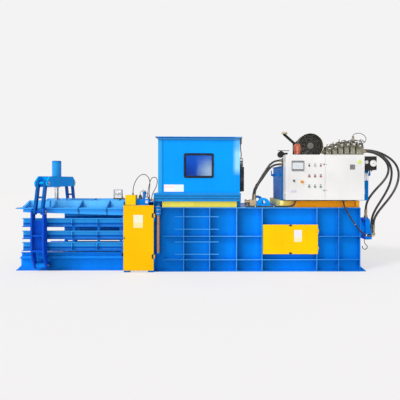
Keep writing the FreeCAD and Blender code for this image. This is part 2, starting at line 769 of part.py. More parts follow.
def lever():
    """Near upright lever: two bowed plates, a web set well in, cross ties, a pad, and the upper pin."""
    y1, z1 = -lever_pivot_y, lever_pivot_z
    y2, z2 = -lever_pin_y, lever_pin_z
    knee = z2 - 440
    corners = [(y1 - 48, z1 - 30), (y1 - 148, z1 + 195), (y2 - 68, knee), (y2 - 56, z2),
               (y2 + 56, z2), (y2 + 82, knee), (y1 - 22, z1 + 225), (y1, z1 + 95), (y1 + 48, z1 + 20)]
    pair = gear_plates(corners, [(y1, z1, 58), (y2, z2, 58)], [(y1, z1, pin_radius + pin_fit)])
    inner = side_plate_inner
    web = box(squeeze_x - inner, squeeze_x + inner, y2 + 10, y2 + 22, z1 + 240, z2 - 140)
    ties = [rod(lever_tie_radius, V(squeeze_x - inner, y2 - 36, z), V(squeeze_x + inner, y2 - 36, z))
            for z in lever_tie_heights]
    pad_beam = box(squeeze_x - inner, squeeze_x + inner, y2 + 50, y2 + 74, knee, knee + 90)
    pad_face = -chamber_half_width - bar_depth - 1.5
    pad = box(squeeze_x - 20, squeeze_x + 20, y2 + 22, pad_face, knee + 25, knee + 65)
    return join(pair + [web, pad_beam, pad, gear_pin(y2, z2)] + ties)


def links():
    """Near pair of links from the yoke down and out to the lever's upper pin."""
    top = V(0, -yoke_pin_y, yoke_pin_z)
    foot = V(0, -lever_pin_y, lever_pin_z)
    run = foot.sub(top)
    side = V(0, -run.z, run.y).normalize().multiply(link_half_width)
    pair = []
    for sign in (-1, 1):
        middle_x = squeeze_x + sign * (side_plate_inner - side_gap - link_plate / 2)
        x0 = middle_x - link_plate / 2
        x1 = middle_x + link_plate / 2
        corners = [top.add(side), foot.add(side), foot.sub(side), top.sub(side)]
        bar = plate_yz([(p.y, p.z) for p in corners], x0, x1)
        eyes = [rod(eye_radius, V(x0, p.y, p.z), V(x1, p.y, p.z)) for p in (top, foot)]
        bar = join([bar] + eyes)
        bar = bar.cut(rod(pin_radius + pin_fit, V(x0 - 1, top.y, top.z), V(x1 + 1, top.y, top.z)))
        bar = bar.cut(rod(pin_radius + link_play, V(x0 - 1, foot.y, foot.z), V(x1 + 1, foot.y, foot.z)))
        pair.append(bar)
    gap = side_plate_inner - side_gap - link_plate
    middle = top.add(foot).multiply(0.5)
    tie = rod(16, V(squeeze_x - gap, middle.y, middle.z), V(squeeze_x + gap, middle.y, middle.z))
    return join(pair + [tie])


# ---------------------------------------------------------------- ram
def ram():
    """Hollow ram: thick face, side cheeks on shoes, and the long top plate that shuts the feed."""
    half = chamber_half_width - ram_side_gap
    low = floor_top + ram_shoe
    high = floor_top + chamber_height - ram_side_gap
    x0 = ram_face_x
    x1 = x0 + ram_length
    pieces = [box(x0, x0 + ram_face_plate, -half, half, low, high),
              box(x0, x1, -half, -half + ram_skin, low, high),
              box(x0, x1, half - ram_skin, half, low, high),
              box(x0, x1, -half, half, low, low + ram_skin),
              box(x0, x0 + ram_tail_length, -half, half, high - ram_skin, high)]
    for y in (-half + 60, half - 140):
        pieces.append(box(x0 + 20, x1 - 20, y, y + 80, floor_top + running_gap, low))
    for y in (-300, 284):
        pieces.append(box(x0 + ram_face_plate, x0 + 300, y, y + 16, low + ram_skin, high - ram_skin))
    pieces.append(rod(main_rod_radius + 45, V(x0 + ram_face_plate, 0, main_axis_z),
                      V(x0 + ram_face_plate + 70, 0, main_axis_z)))
    body = join(pieces)
    socket = rod(main_rod_radius, V(x0 + ram_face_plate, 0, main_axis_z), V(x0 + 200, 0, main_axis_z))
    return body.cut(socket)


def ram_rod():
    """Main rod with its piston, seated in the ram's face."""
    start = ram_face_x + ram_face_plate
    end = tail_start - 40
    shaft = rod(main_rod_radius, V(start, 0, main_axis_z), V(end, 0, main_axis_z))
    piston = rod(main_bore_radius - 0.1, V(end - 130, 0, main_axis_z), V(end, 0, main_axis_z))
    return join([shaft, piston])


def main_cylinder():
    """Barrel through the end plate, with gland, rear collar and the stepped port block at the tail."""
    axis = main_axis_z
    outer = rod(main_barrel_radius, V(barrel_front, 0, axis), V(tail_start, 0, axis))
    bore = rod(main_bore_radius, V(barrel_front + 70, 0, axis), V(tail_start - 30, 0, axis))
    neck = rod(main_rod_radius + pin_fit, V(barrel_front - 1, 0, axis), V(barrel_front + 71, 0, axis))
    gland = rod(main_barrel_radius + 18, V(barrel_front, 0, axis), V(barrel_front + 60, 0, axis))
    collars = [rod(main_barrel_radius + 32, V(x, 0, axis), V(x + 40, 0, axis))
               for x in (body_end + 60, body_end - end_plate - 40)]
    body = join([outer, gland] + tail_block() + collars)
    body = body.cut(bore).cut(neck)
    x, y = top_port
    body = body.cut(rod(port_radius, V(x, y, tower_top() - port_depth), V(x, y, tower_top() + 23)))
    for y in end_port_ys:
        body = body.cut(rod(port_radius, V(shelf_end - port_depth, y, elbow_z), V(shelf_end + 1, y, elbow_z)))
    return body


def tower_top():
    return main_axis_z + tail_rise


def tail_block():
    """The chamfered tower with the top port's boss, and the sloped shelf behind it."""
    low = main_axis_z - tail_drop
    shelf_start = tail_start + tail_step
    tower = box(tail_start, shelf_start, -tail_half_width, tail_half_width, low, tower_top())
    edges = [e for e in tower.Edges if abs(e.tangentAt(0).x) > 0.99]
    tower = tower.makeChamfer(tower_chamfer, edges)
    w, top = shelf_half_width, main_axis_z + shelf_rise
    slope_y, slope_z = w - shelf_slope_width, top - shelf_slope
    shelf = plate_yz([(-w, low), (-w, slope_z), (-slope_y, top), (slope_y, top), (w, slope_z), (w, low)],
                     shelf_start, shelf_end)
    x, y = top_port
    boss = rod(port_radius + 14, V(x, y, tower_top() - 5), V(x, y, tower_top() + 22))
    return [tower, shelf, boss]


def hose_ends():
    """Where the inner, middle and outer hose meet their screwed ends."""
    ends = [V(*top_port, tower_top() + fitting_height)]
    return ends + [V(elbow_x, y, elbow_z + fitting_height) for y in end_port_ys]


def hose_fittings():
    """A straight hose end in the tower and two elbows in the shelf's end face."""
    x, y = top_port
    z = tower_top()
    straight = join([rod(port_radius - running_gap, V(x, y, z - port_depth), V(x, y, z + 60)),
                     hex_prism(x, y, z + 23, 36, 30), rod(24, V(x, y, z + 53), V(x, y, z + fitting_height))])
    pieces = [straight]
    x, z = elbow_x, elbow_z
    for y in end_port_ys:
        pieces.append(join([
            rod(port_radius - running_gap, V(shelf_end - port_depth, y, z), V(x, y, z)),
            box(x - elbow_half, x + elbow_half, y - elbow_half, y + elbow_half, z - elbow_half, z + elbow_half),
            hex_prism(x, y, z + elbow_half, elbow_half, 30),
            rod(elbow_half - 2, V(x, y, z + elbow_half + 30), V(x, y, z + fitting_height))]))
    return pieces


def hex_prism(x, y, z, radius, height):
    corners = [(x + radius * math.cos(math.radians(60 * k)), y + radius * math.sin(math.radians(60 * k)))
               for k in range(6)]
    return plate_xy(corners, z, z + height)


# ---------------------------------------------------------------- access cover
def cover_axis():
    return cover_end + 8, -rib_outer - cover_gap - cover_depth / 2


def access_cover():
    """Yellow folded cover over the ram's service opening, with two hinge knuckles."""
    front = -rib_outer - cover_gap - cover_depth
    pan = box(cover_start, cover_end, front, front + cover_depth, cover_bottom, cover_top)
    pan = pan.cut(box(cover_start + cover_sheet, cover_end - cover_sheet, front + cover_sheet,
                      front + cover_depth + 1, cover_bottom + cover_sheet, cover_top - cover_sheet))
    x, y = cover_axis()
    pieces = [pan]
    for z in (cover_bottom + 70, cover_top - 130):
        knuckle = rod(7, V(x, y, z), V(x, y, z + 60))
        leaf = box(cover_end, x, y - 3, y + 3, z, z + 60)
        pieces.append(join([knuckle, leaf]).cut(rod(3.5 + pin_fit, V(x, y, z - 1), V(x, y, z + 61))))
    return join(pieces)


def cover_hinge_pins():
    """Pins and lower knuckles of the access cover's hinges, welded to the rib."""
    x, y = cover_axis()
    pieces = []
    for z in (cover_bottom + 70, cover_top - 130):
        knuckle = rod(7, V(x, y, z - 32), V(x, y, z - 1))
        pin = rod(3.5, V(x, y, z - 32), V(x, y, z + 60))
        leaf = box(x - 3, x + 3, y, -rib_outer, z - 32, z - 1)
        strap = box(rib_stations[4], x + 3, -rib_outer - 0.5, -rib_outer, z - 32, z - 1)
        pieces.append(join([knuckle, pin, leaf, strap]))
    return pieces


# ---------------------------------------------------------------- hopper
def hopper_shell():
    """Four sheet sides with corner strips, a rim round the top and a window opening."""
    x0, x1, w = hopper_start, hopper_end, hopper_half_width
    outer = box(x0, x1, -w, w, sill_top, hopper_top)
    inner = box(x0 + hopper_sheet, x1 - hopper_sheet, -w + hopper_sheet, w - hopper_sheet,
                sill_top - 1, hopper_top + 1)
    pieces = [outer]
    for sx in (x0, x1 - corner_strip):
        for sy in (-w - corner_thickness, w):
            pieces.append(box(sx, sx + corner_strip, sy, sy + corner_thickness, sill_top, hopper_top))
    for sx in (x0 - corner_thickness, x1):
        for sy in (-w - corner_thickness, w + corner_thickness - corner_strip):
            pieces.append(box(sx, sx + corner_thickness, sy, sy + corner_strip, sill_top, hopper_top))
    rim_low = hopper_top - rim_thickness
    pieces.append(box(x0, x1, -w - corner_thickness, w + corner_thickness, rim_low - rim_strip, rim_low))
    pieces.append(box(x0 - rim_width, x1 + rim_width, -w - rim_width, w + rim_width, rim_low, hopper_top))
    shell = join(pieces).cut(inner)
    hole = round_window(window_start, window_end, window_bottom, window_top, window_radius, -w - 20, -w + 20)
    return shell.cut(hole)


def window_block(margin, radius, y0, y1):
    """A rounded block that reaches past the window opening by the margin, or stays inside it if negative."""
    return round_window(window_start - margin, window_end + margin, window_bottom - margin,
                        window_top + margin, radius, y0, y1)


def window_seal():
    """Rubber frame in the window opening, proud of the sheet on both sides."""
    w = hopper_half_width
    y0, y1 = -w - seal_proud, -w + hopper_sheet + seal_proud
    reach = seal_overlap
    flange = window_block(reach, window_radius + reach, y0, y1)
    slot_out = window_block(reach + 1, window_radius + reach + 1, -w, -w + hopper_sheet)
    slot_keep = window_block(0, window_radius, -w, -w + hopper_sheet)
    clear = window_block(-seal_width, seal_inner_radius, y0 - 1, y1 + 1)
    return flange.cut(slot_out.cut(slot_keep)).cut(clear).cut(window_pane())


def window_pane():
    middle = -hopper_half_width + hopper_sheet / 2
    return window_block(-pane_bite, window_radius - pane_bite, middle - pane_thickness / 2,
                        middle + pane_thickness / 2)


def hopper_sills():
    """Stack of beams under the hopper, a ring round the feed throat, with open grooves between them."""
    low = sill_top - sill_height
    ring = box(sill_start, sill_end, -sill_outer, sill_outer, low, sill_top)
    throat = box(hopper_start + 22, hopper_end - 22, -chamber_half_width, chamber_half_width,
                 low - 101, sill_top + 1)
    for rise in sill_grooves:
        z = low + rise
        groove = box(sill_start - 1, sill_end + 1, -sill_outer - 1, -sill_outer + sill_groove_depth, z,
                     z + sill_groove_height)
        ring = ring.cut(groove).cut(across(groove))
    front_foot = box(frame_end + 2, hopper_start + 42, -chamber_half_width, chamber_half_width, wall_top, low)
    rear_foot = box(hopper_end - 22, sill_end, -chamber_half_width, chamber_half_width, wall_top, low)
    return join([ring, front_foot, rear_foot]).cut(throat)


def feed_bars():
    """Dull yellow bars that fill the slot between the walls and the sills."""
    low = wall_top
    high = sill_top - sill_height
    bar = box(feed_bar_start, feed_bar_end, -wall_outer - feed_bar_width / 2, -chamber_half_width, low, high)
    return Part.makeCompound(both_sides(bar))


# ---------------------------------------------------------------- power unit
def tank_base():
    """Orange channel frame on the body's roof that carries the tank."""
    x0, x1, w = base_start, body_end, base_half_width
    z0, z1 = wall_top, wall_top + base_height
    outer = box(x0, x1, -w, w, z0, z1)
    hollow = box(x0 + channel_flange, x1 - channel_flange, -w + channel_flange, w - channel_flange,
                 z0 - 1, z1 + 1)
    frame = outer.cut(hollow)
    groove = box(x0 + channel_flange, x1 - channel_flange, -w - 1, -w + channel_flange - channel_wall,
                 z0 + channel_wall, z1 - channel_wall)
    frame = frame.cut(groove).cut(across(groove))
    ties = [box(x, x + 80, -w + channel_flange, w - channel_flange, z0 + 20, z1) for x in (1640, 2200)]
    return join([frame] + ties)


def oil_tank():
    """Welded oil tank with a lipped lid, end hooks and the stands for the motor and the valves."""
    z0 = wall_top + base_height
    pieces = [box(tank_start, tank_end, tank_near, tank_far, z0, tank_top - tank_lid),
              box(tank_start - tank_lid_lip, tank_end + tank_lid_lip, tank_near - tank_lid_lip,
                  tank_far + tank_lid_lip, tank_top - tank_lid, tank_top)]
    body = join(pieces)
    t = tank_wall
    body = body.cut(box(tank_start + t, tank_end - t, tank_near + t, tank_far - t, z0 + t, tank_top - tank_lid))
    z = tank_top
    for x, out in ((tank_start, -1), (tank_end, 1)):
        for y in (tank_near + 40, tank_far - 60):
            hook = plate_xz([(x, z - 180), (x + 55 * out, z - 160), (x + 55 * out, z - 60), (x + 38 * out, z - 60),
                             (x + 38 * out, z - 130), (x, z - 115)], y, y + 20)
            body = join([body, hook])
    stand_top = motor_z - motor_radius - 22
    stand = [box(motor_x - 190, motor_x - 130, -60, 360, tank_top, stand_top),
             box(motor_x + 130, motor_x + 190, -60, 360, tank_top, stand_top),
             box(motor_x - 190, motor_x + 190, -60, 360, stand_top - 20, stand_top)]
    return join([body] + stand)


def drive_motor():
    """Foot-mounted motor with cooling fins, a terminal box and a round fan cowl with a wire guard."""
    x, z = motor_x, motor_z
    near, far = motor_near + cowl_depth, motor_near + cowl_depth + motor_length
    pieces = [rod(motor_radius - 24, V(x, near - 20, z), V(x, far, z)),
              rod(motor_radius, V(x, near, z), V(x, near + 30, z)),
              rod(motor_radius, V(x, far - 30, z), V(x, far, z))]
    for k in range(motor_fins):
        angle = math.radians(360 / motor_fins * k + 9)
        fin = box(x + motor_radius - 40, x + motor_radius, near + 30, far - 30, z - 4, z + 4)
        fin.rotate(V(x, 0, z), V(0, 1, 0), math.degrees(angle))
        pieces.append(fin)
    foot_low = z - motor_radius - 22
    pieces.append(box(x - 170, x + 170, near + 60, near + 130, foot_low, z - 120))
    pieces.append(box(x - 170, x + 170, far - 130, far - 60, foot_low, z - 120))
    pieces.append(box(x + 90, x + 230, near + 150, near + 330, z + 90, z + 190))
    motor = join(pieces)
    r = motor_cowl_radius
    cowl = pipe(r, r - 5, V(x, motor_near, z), V(x, near + 40, z))
    disc = pipe(r, motor_radius - 1, V(x, near + 36, z), V(x, near + 40, z))
    ring_step = (r - 60) / guard_rings
    wires = [wire_ring(r - 5 - ring_step * k) for k in range(1, guard_rings)]
    for k in range(guard_spokes):
        spoke = box(x + 40, x + r - 5, motor_near + 5, motor_near + 10, z - 3, z + 3)
        spoke.rotate(V(x, 0, z), V(0, 1, 0), 360 / guard_spokes * k + 12)
        wires.append(spoke)
    wires.append(rod(62, V(x, motor_near + 5, z), V(x, motor_near + 10, z)))
    bearing = rod(30, V(x, near - 30, z), V(x, near - 19, z))
    shaft_hole = rod(14 + pin_fit, V(x, near - 31, z), V(x, near + 40, z))
    return join([motor, cowl, disc, bearing] + wires).cut(shaft_hole)


def wire_ring(inner):
    """One guard wire, a ring of flats round the fan's axis."""
    rings = []
    for radius in (inner + 5, inner):
        corners = [(motor_x + radius * math.cos(2 * math.pi * k / guard_flats),
                    motor_z + radius * math.sin(2 * math.pi * k / guard_flats)) for k in range(guard_flats)]
        rings.append(plate_xz(corners, motor_near, motor_near + 5))
    return rings[0].cut(rings[1])


def fan_rotor():
    """Fan behind the guard: hub, pitched blades and the shaft stub in the motor."""
    x, z = motor_x, motor_z
    near = motor_near + cowl_depth
    y0 = motor_near + 45
    pieces = [rod(52, V(x, y0, z), V(x, y0 + fan_depth, z)),
              rod(14, V(x, y0, z), V(x, near + 30, z))]
    for k in range(fan_blades):
        blade = box(x + 40, x + fan_radius, y0 + fan_depth / 2 - 2, y0 + fan_depth / 2 + 2, z - 34, z + 34)
        blade.rotate(V(x, y0 + fan_depth / 2, z), V(1, 0, 0), 28)
        blade.rotate(V(x, 0, z), V(0, 1, 0), 360 / fan_blades * k)
        pieces.append(blade)
    return join(pieces)


def hydraulic_pump():
    """Pump on a bell housing at the motor's far end, with its suction pipe down to the tank."""
    x, z = motor_x, motor_z
    y0 = motor_near + cowl_depth + motor_length
    bell = Part.makeCone(motor_radius - 10, pump_radius, 90, V(x, y0, z), V(0, 1, 0))
    body = rod(pump_radius, V(x, y0 + 90, z), V(x, y0 + 190, z))
    head = box(x - 80, x + 80, y0 + 190, y0 + 240, z - 80, z + 80)
    port = rod(34, V(x, y0 + 40, z - 130), V(x, y0 + 40, tank_top))
    return join([bell, body, head, port])


def cabinet_shell(left_hinges, right_hinges):
    """Electrical cabinet without its doors: side, top and bottom sheets, and the rear sheet on two brackets."""
    front, back = cabinet_front + cabinet_door + 2, cabinet_back
    x0, x1, z0, z1 = cabinet_start, cabinet_end, cabinet_bottom, cabinet_top
    t = cabinet_sheet
    sides = [join([box(x, x + t, front, back, z0, z1)] + hinges)
             for x, hinges in ((x0, left_hinges), (x1 - t, right_hinges))]
    level = [box(x0 + t, x1 - t, front, back, z, z + t) for z in (z0, z1 - t)]
    rear = box(x0 + t, x1 - t, back - t, back, z0 + t, z1 - t)
    brackets = [box(x, x + 60, back, tank_near, z0 + 60, z1 - 300) for x in (x0 + 120, x1 - 180)]
    return Part.makeCompound(sides + level + [join([rear] + brackets)])


def switchgear():
    """Mounting plate inside the cabinet with contactors, relays and a duct."""
    y1 = cabinet_back - cabinet_sheet
    x0, x1 = cabinet_start + 60, cabinet_end - 60
    z0, z1 = cabinet_bottom + 60, cabinet_top - 60
    pieces = [box(x0, x1, y1 - 3, y1, z0, z1)]
    for z in (z0 + 90, z0 + 300, z0 + 510):
        pieces.append(box(x0 + 40, x1 - 40, y1 - 12, y1 - 3, z - 18, z + 18))
    for k in range(5):
        x = x0 + 70 + 90 * k
        pieces.append(box(x, x + 70, y1 - 92, y1 - 12, z0 + 470, z0 + 560))
    for k in range(12):
        x = x0 + 70 + 34 * k
        pieces.append(box(x, x + 26, y1 - 72, y1 - 12, z0 + 260, z0 + 345))
    pieces.append(box(x0 + 620, x1 - 90, y1 - 102, y1 - 12, z0 + 240, z0 + 580))
    pieces.append(box(x0 + 50, x1 - 50, y1 - 62, y1 - 3, z0 + 160, z0 + 210))
    return join(pieces)


def cabinet_door_pan(x0, x1):
    """One folded cabinet door without its hinges."""
    front = cabinet_front
    t = cabinet_sheet
    z0, z1 = cabinet_bottom, cabinet_top
    pan = box(x0, x1, front, front + cabinet_door, z0, z1)
    return pan.cut(box(x0 + t, x1 - t, front + t, front + cabinet_door + 1, z0 + t, z1 - t))


def cabinet_hinge_x():
    return cabinet_start - 7, cabinet_end + 7


def cabinet_hinges(hinge_x, edge_x):
    """Door half and shell half of the two hinges at one edge of the cabinet."""
    y = cabinet_front + cabinet_door + 1
    door_half, shell_half = [], []
    lo, hi = min(hinge_x, edge_x), max(hinge_x, edge_x)
    for z in (cabinet_bottom + 100, cabinet_top - 180):
        knuckle = rod(6, V(hinge_x, y, z), V(hinge_x, y, z + 40))
        leaf = box(lo, hi, y - 5, y - 2, z, z + 40)
        door_half.append(join([knuckle, leaf]).cut(rod(3 + pin_fit, V(hinge_x, y, z - 1), V(hinge_x, y, z + 41))))
        knuckle = rod(6, V(hinge_x, y, z + 41), V(hinge_x, y, z + 80))
        pin = rod(3, V(hinge_x, y, z), V(hinge_x, y, z + 80))
        leaf = box(lo, hi, y + 2, y + 5, z + 41, z + 80)
        shell_half.append(join([knuckle, pin, leaf]))
    return door_half, shell_half


def cabinet_doors():
    seam = (cabinet_start + cabinet_end) / 2
    left_x, right_x = cabinet_hinge_x()
    left_half, left_shell = cabinet_hinges(left_x, cabinet_start)
    right_half, right_shell = cabinet_hinges(right_x, cabinet_end)
    left = join([cabinet_door_pan(cabinet_start, seam - 1.5)] + left_half)
    right = join([cabinet_door_pan(seam + 1.5, cabinet_end)] + right_half)
    holes = [(x, z) for x in button_columns for _, z in button_rows]
    holes += [(x, lamp_height) for x in button_columns] + [selector_place, estop_place]
    for x, z in holes:
        left = left.cut(rod(button_hole, V(x, cabinet_front - 1, z), V(x, cabinet_front + cabinet_sheet + 1, z)))
    return left, right, left_shell, right_shell


def push_button(x, z, cap_radius, proud, stem):
    """A cap in front of the door on a stem that runs through it to a nut, its stop."""
    front = cabinet_front - button_travel
    cap = rod(cap_radius, V(x, front - proud, z), V(x, front, z))
    shaft = rod(button_hole - 0.1, V(x, front, z), V(x, cabinet_front + stem, z))
    corners = [(x + button_nut * math.cos(math.pi * k / 3), z + button_nut * math.sin(math.pi * k / 3))
               for k in range(6)]
    nut = plate_xz(corners, cabinet_front + cabinet_sheet + 0.2, cabinet_front + stem)
    return join([cap, shaft, nut])


def selector_switch():
    """Round base with a short lever to turn."""
    x, z = selector_place
    base = rod(14, V(x, cabinet_front - 8, z), V(x, cabinet_front - 0.2, z))
    grip = box(x - 5, x + 5, cabinet_front - 24, cabinet_front - 8, z - 15, z + 15)
    shaft = rod(button_hole - 0.1, V(x, cabinet_front - 1, z), V(x, cabinet_front + 12, z))
    return join([base, grip, shaft])


def touch_screen():
    """Operator screen: bezel with a recessed glass."""
    x0, x1, z0, z1 = screen_box
    bezel = box(x0, x1, cabinet_front - 8, cabinet_front, z0, z1)
    return bezel.cut(box(x0 + 14, x1 - 14, cabinet_front - 9, cabinet_front - 5, z0 + 14, z1 - 14))


def valve_stack():
    """Manifold on the tank with a row of stacked valves, square solenoids, a sensor and a pipe stub."""
    x0, x1 = valve_start, valve_end - 50
    block_top = valve_block_top
    pieces = [box(x0, x1, -230, 60, tank_top, block_top)]
    for k, step in enumerate(valve_steps):
        x = x0 + 12 + valve_pitch * k
        middle, coil_low = x + 41, block_top + 72 + step
        pieces.append(box(x, x + 82, -220, -40, block_top, coil_low + 18))
        pieces.append(box(x + 6, x + 76, -235, -25, coil_low + 18, coil_low + 66))
        pieces.append(box(middle - 24, middle + 24, -290, 30, coil_low - 14, coil_low + 38))
        pieces.append(hex_prism(middle, -130, coil_low + 66, 17, 20 + 10 * (k % 3)))
    pieces.append(rod(34, V(x0 - 60, -120, block_top + 45), V(x0 + 20, -120, block_top + 45)))
    pieces.append(box(x1 - 20, valve_end, -180, 50, block_top - 5, block_top + 130))
    tower = sensor_tower_x
    pieces.append(hex_prism(tower, 10, block_top, 40, 190))
    pieces.append(rod(24, V(tower, 10, block_top + 190), V(tower, 10, sensor_tower_top)))
    return join(pieces)


def gauge_box():
    """Dark instrument box on a strap from the tank's lid, with a round pressure dial."""
    lid_end = tank_end + tank_lid_lip
    y0, y1 = gauge_box_ys
    case = box(cabinet_end + 18, gauge_box_end, y0, y1, gauge_box_low, gauge_box_top)
    strap = box(lid_end, lid_end + 12, y1, -300, tank_top - 50, tank_top - 4)
    x, z = gauge_place
    dial = rod(gauge_radius, V(x, y0 - 18, z), V(x, y0, z))
    return join([case, strap, dial])


def warning_beacon():
    """Orange lens on a short socket, turned from one profile of heights and radii."""
    x, y = beacon_place
    points = [V(x, y, cabinet_top)] + [V(x + radius, y, cabinet_top + z) for z, radius in beacon_profile]
    half = Part.Face(Part.makePolygon(points + [points[0]]))
    return half.revolve(V(x, y, cabinet_top), V(0, 0, 1), 360)


def filler_elbow():
    """Breather pipe: a leaning black tube with a cream cap, from a flange on the tank's lid."""
    flange_x, tip_x, y = 1655.0, 1478.0, -10.0
    foot = V(flange_x, y, tank_top)
    knee = V(flange_x, y, tank_top + 435)
    tip = V(tip_x, y, knee.z + 157)
    spout = V(tip_x, y, tip.z + 14)
    rim = V(tip_x, y, spout.z + 20)
    pieces = [rod(50, foot, V(flange_x, y, tank_top + 14)), pipe_bend([foot, knee, tip, spout], 24),
              rod(54, spout, rim), rod(44, rim, V(tip_x, y, rim.z + 14))]
    return join(pieces)


def pipe_bend(points, radius):
    """A tube through corner points, mitred at each corner."""
    section = Part.Wire(Part.makeCircle(radius, points[0], points[1].sub(points[0])))
    return Part.makePolygon(points).makePipeShell([section], True, False, 1)


def return_valve():
    """Return filter block on the tank with a black ball valve and its lever."""
    x0, y, z = return_block_x, return_block_y, ball_valve_z
    valve_x, riser_x = x0 - 30, x0 + 60
    block_top = tank_top + return_block_height
    pieces = [box(x0, x0 + 175, y - 80, y + 80, tank_top, block_top),
              rod(55, V(valve_x, y - 50, z), V(valve_x, y + 50, z)),
              rod(30, V(valve_x, y, z), V(riser_x, y, z)),
              rod(30, V(riser_x, y, block_top), V(riser_x, y, z + 30)),
              rod(16, V(valve_x, y, z), V(valve_x, y, z + 70)),
              box(valve_x - 55, valve_x + 145, y - 12, y + 12, z + 62, z + 72)]
    return join(pieces)


def brass_elbow():
    """Tan pipe fitting on the roof where the two return hoses come down."""
    x0, y, axis_z = manifold_start, manifold_y, wall_top + 80
    pieces = [box(x0, x0 + 112, y - 60, y + 60, wall_top, return_end_z - 40),
              rod(34, V(x0 - 80, y, axis_z), V(x0, y, axis_z)),
              rod(46, V(x0 - 80, y, axis_z), V(x0 - 52, y, axis_z)),
              rod(26, V(x0 - 40, y, wall_top), V(x0 - 40, y, axis_z))]
    for x, y in return_ends:
        pieces.append(rod(21, V(x, y, return_end_z - 41), V(x, y, return_end_z)))
    return join(pieces)


# ---------------------------------------------------------------- tying section
def wire_cylinder():
    """Small upright cylinder in a block on the tying frame's roof."""
    x, y = wire_cylinder_place
    top = wire_cylinder_top
    pieces = [box(x - 123, x + 95, y - 60, y + 60, wall_top, tying_block_top),
              rod(26, V(x, y, tying_block_top), V(x, y, top)),
              rod(32, V(x, y, top - 14), V(x, y, top + 2))]
    beam = box(frame_end - column_width, frame_end, -column_outer, 0, wall_top, wall_top + frame_beam_height)
    return join(pieces).cut(beam)


def roller_brackets():
    """Upper drum housing and lower socket that hold the upright wire roller."""
    x, y = roller_place()
    foot_low, drum_low = roller_low - 26, roller_top + 2
    drum = rod(52, V(x, y, drum_low), V(x, y, drum_low + 140))
    arm = box(x - 30, x + 30, y, -wall_outer, drum_low + 10, drum_low + 100)
    foot = box(x - 24, x + 24, y - 24, -wall_outer, foot_low, roller_low - 2)
    bore = roller_spindle + pin_fit
    hole = rod(bore, V(x, y, foot_low - 2), V(x, y, roller_low))
    hole_top = rod(bore, V(x, y, drum_low - 5), V(x, y, drum_low + 45))
    return [join([drum, arm]).cut(hole_top), foot.cut(hole)]


def roller_place():
    return frame_end + 62, -rib_outer + 10


def guide_roller():
    """Copper-coloured upright roller on a thin spindle."""
    x, y = roller_place()
    return join([rod(roller_radius, V(x, y, roller_low), V(x, y, roller_top)),
                 rod(roller_spindle, V(x, y, roller_low - 24), V(x, y, roller_top + 42))])


def wheel_arm():
    """Arm hinged on the frame's beam, with a bracket of open square frames for the bale-length wheel."""
    x, y = wheel_hinge
    z = wheel_hinge_z()
    x0, x1 = x - 320, x - 170
    top = z + 165
    bar = box(x - 300, x, y - 14, y + 14, z - 9, z + 9)
    eye = rod(18, V(x, y - 14, z), V(x, y + 14, z))
    frames = []
    for y0 in (y - 34, y + 28):
        plate = box(x0, x1, y0, y0 + 6, z - 9, top)
        for low, high in ((z + 12, z + wheel_rise - 14), (z + wheel_rise + 14, top - 14)):
            plate = plate.cut(box(x0 + 14, x1 - 14, y0 - 1, y0 + 7, low, high))
        frames.append(plate)
    bridge = box(x0, x1, y - 34, y + 34, z - 9, z - 3)
    slot = box(x0 + 8, x1 - 8, y - 28, y + 28, z - 3, z + 20)
    body = join([bar, eye, bridge] + frames).cut(slot)
    hole = rod(9 + pin_fit, V(x, y - 40, z), V(x, y + 40, z))
    axle_x, axle_z = x - wheel_reach, z + wheel_rise
    axle = rod(10 + pin_fit, V(axle_x, y - 40, axle_z), V(axle_x, y + 40, axle_z))
    return body.cut(hole).cut(axle)


def wheel_hinge_z():
    return wall_top + frame_beam_height + 22


def wheel_seat():
    """Two ears and the pin on the frame's top beam that the arm turns on."""
    x, y = wheel_hinge
    top, z = wall_top + frame_beam_height, wheel_hinge_z()
    ears = [join([box(x - 20, x + 20, y0, y0 + 10, top, z), rod(20, V(x, y0, z), V(x, y0 + 10, z))])
            for y0 in (y - 26, y + 16)]
    return join(ears + [rod(9, V(x, y - 26, z), V(x, y + 26, z))])


def bale_wheel():
    """Toothed measuring wheel on its axle."""
    x, y = wheel_hinge[0] - wheel_reach, wheel_hinge[1]
    z = wheel_hinge_z() + wheel_rise
    corners = []
    for k in range(wheel_teeth * 2):
        radius = 62 if k % 2 == 0 else 50
        angle = math.pi * k / wheel_teeth
        corners.append((x + radius * math.cos(angle), z + radius * math.sin(angle)))
    star = plate_xz(corners, y - 12, y + 12)
    hub = rod(22, V(x, y - 27, z), V(x, y + 27, z))
    return join([star, hub, rod(10, V(x, y - 36, z), V(x, y + 36, z))])


def junction_box():
    """Grey sensor box on the hopper's end with its cable duct down to the sills."""
    x, y0, y1 = hopper_end, *sensor_box_ys
    low, high = sensor_box_zs
    pieces = [box(x, x + corner_thickness + 60, y0, y1, low, high),
              box(x, x + corner_thickness + 34, y0 + 20, y0 + 80, sill_top + 20, low)]
    return join(pieces)


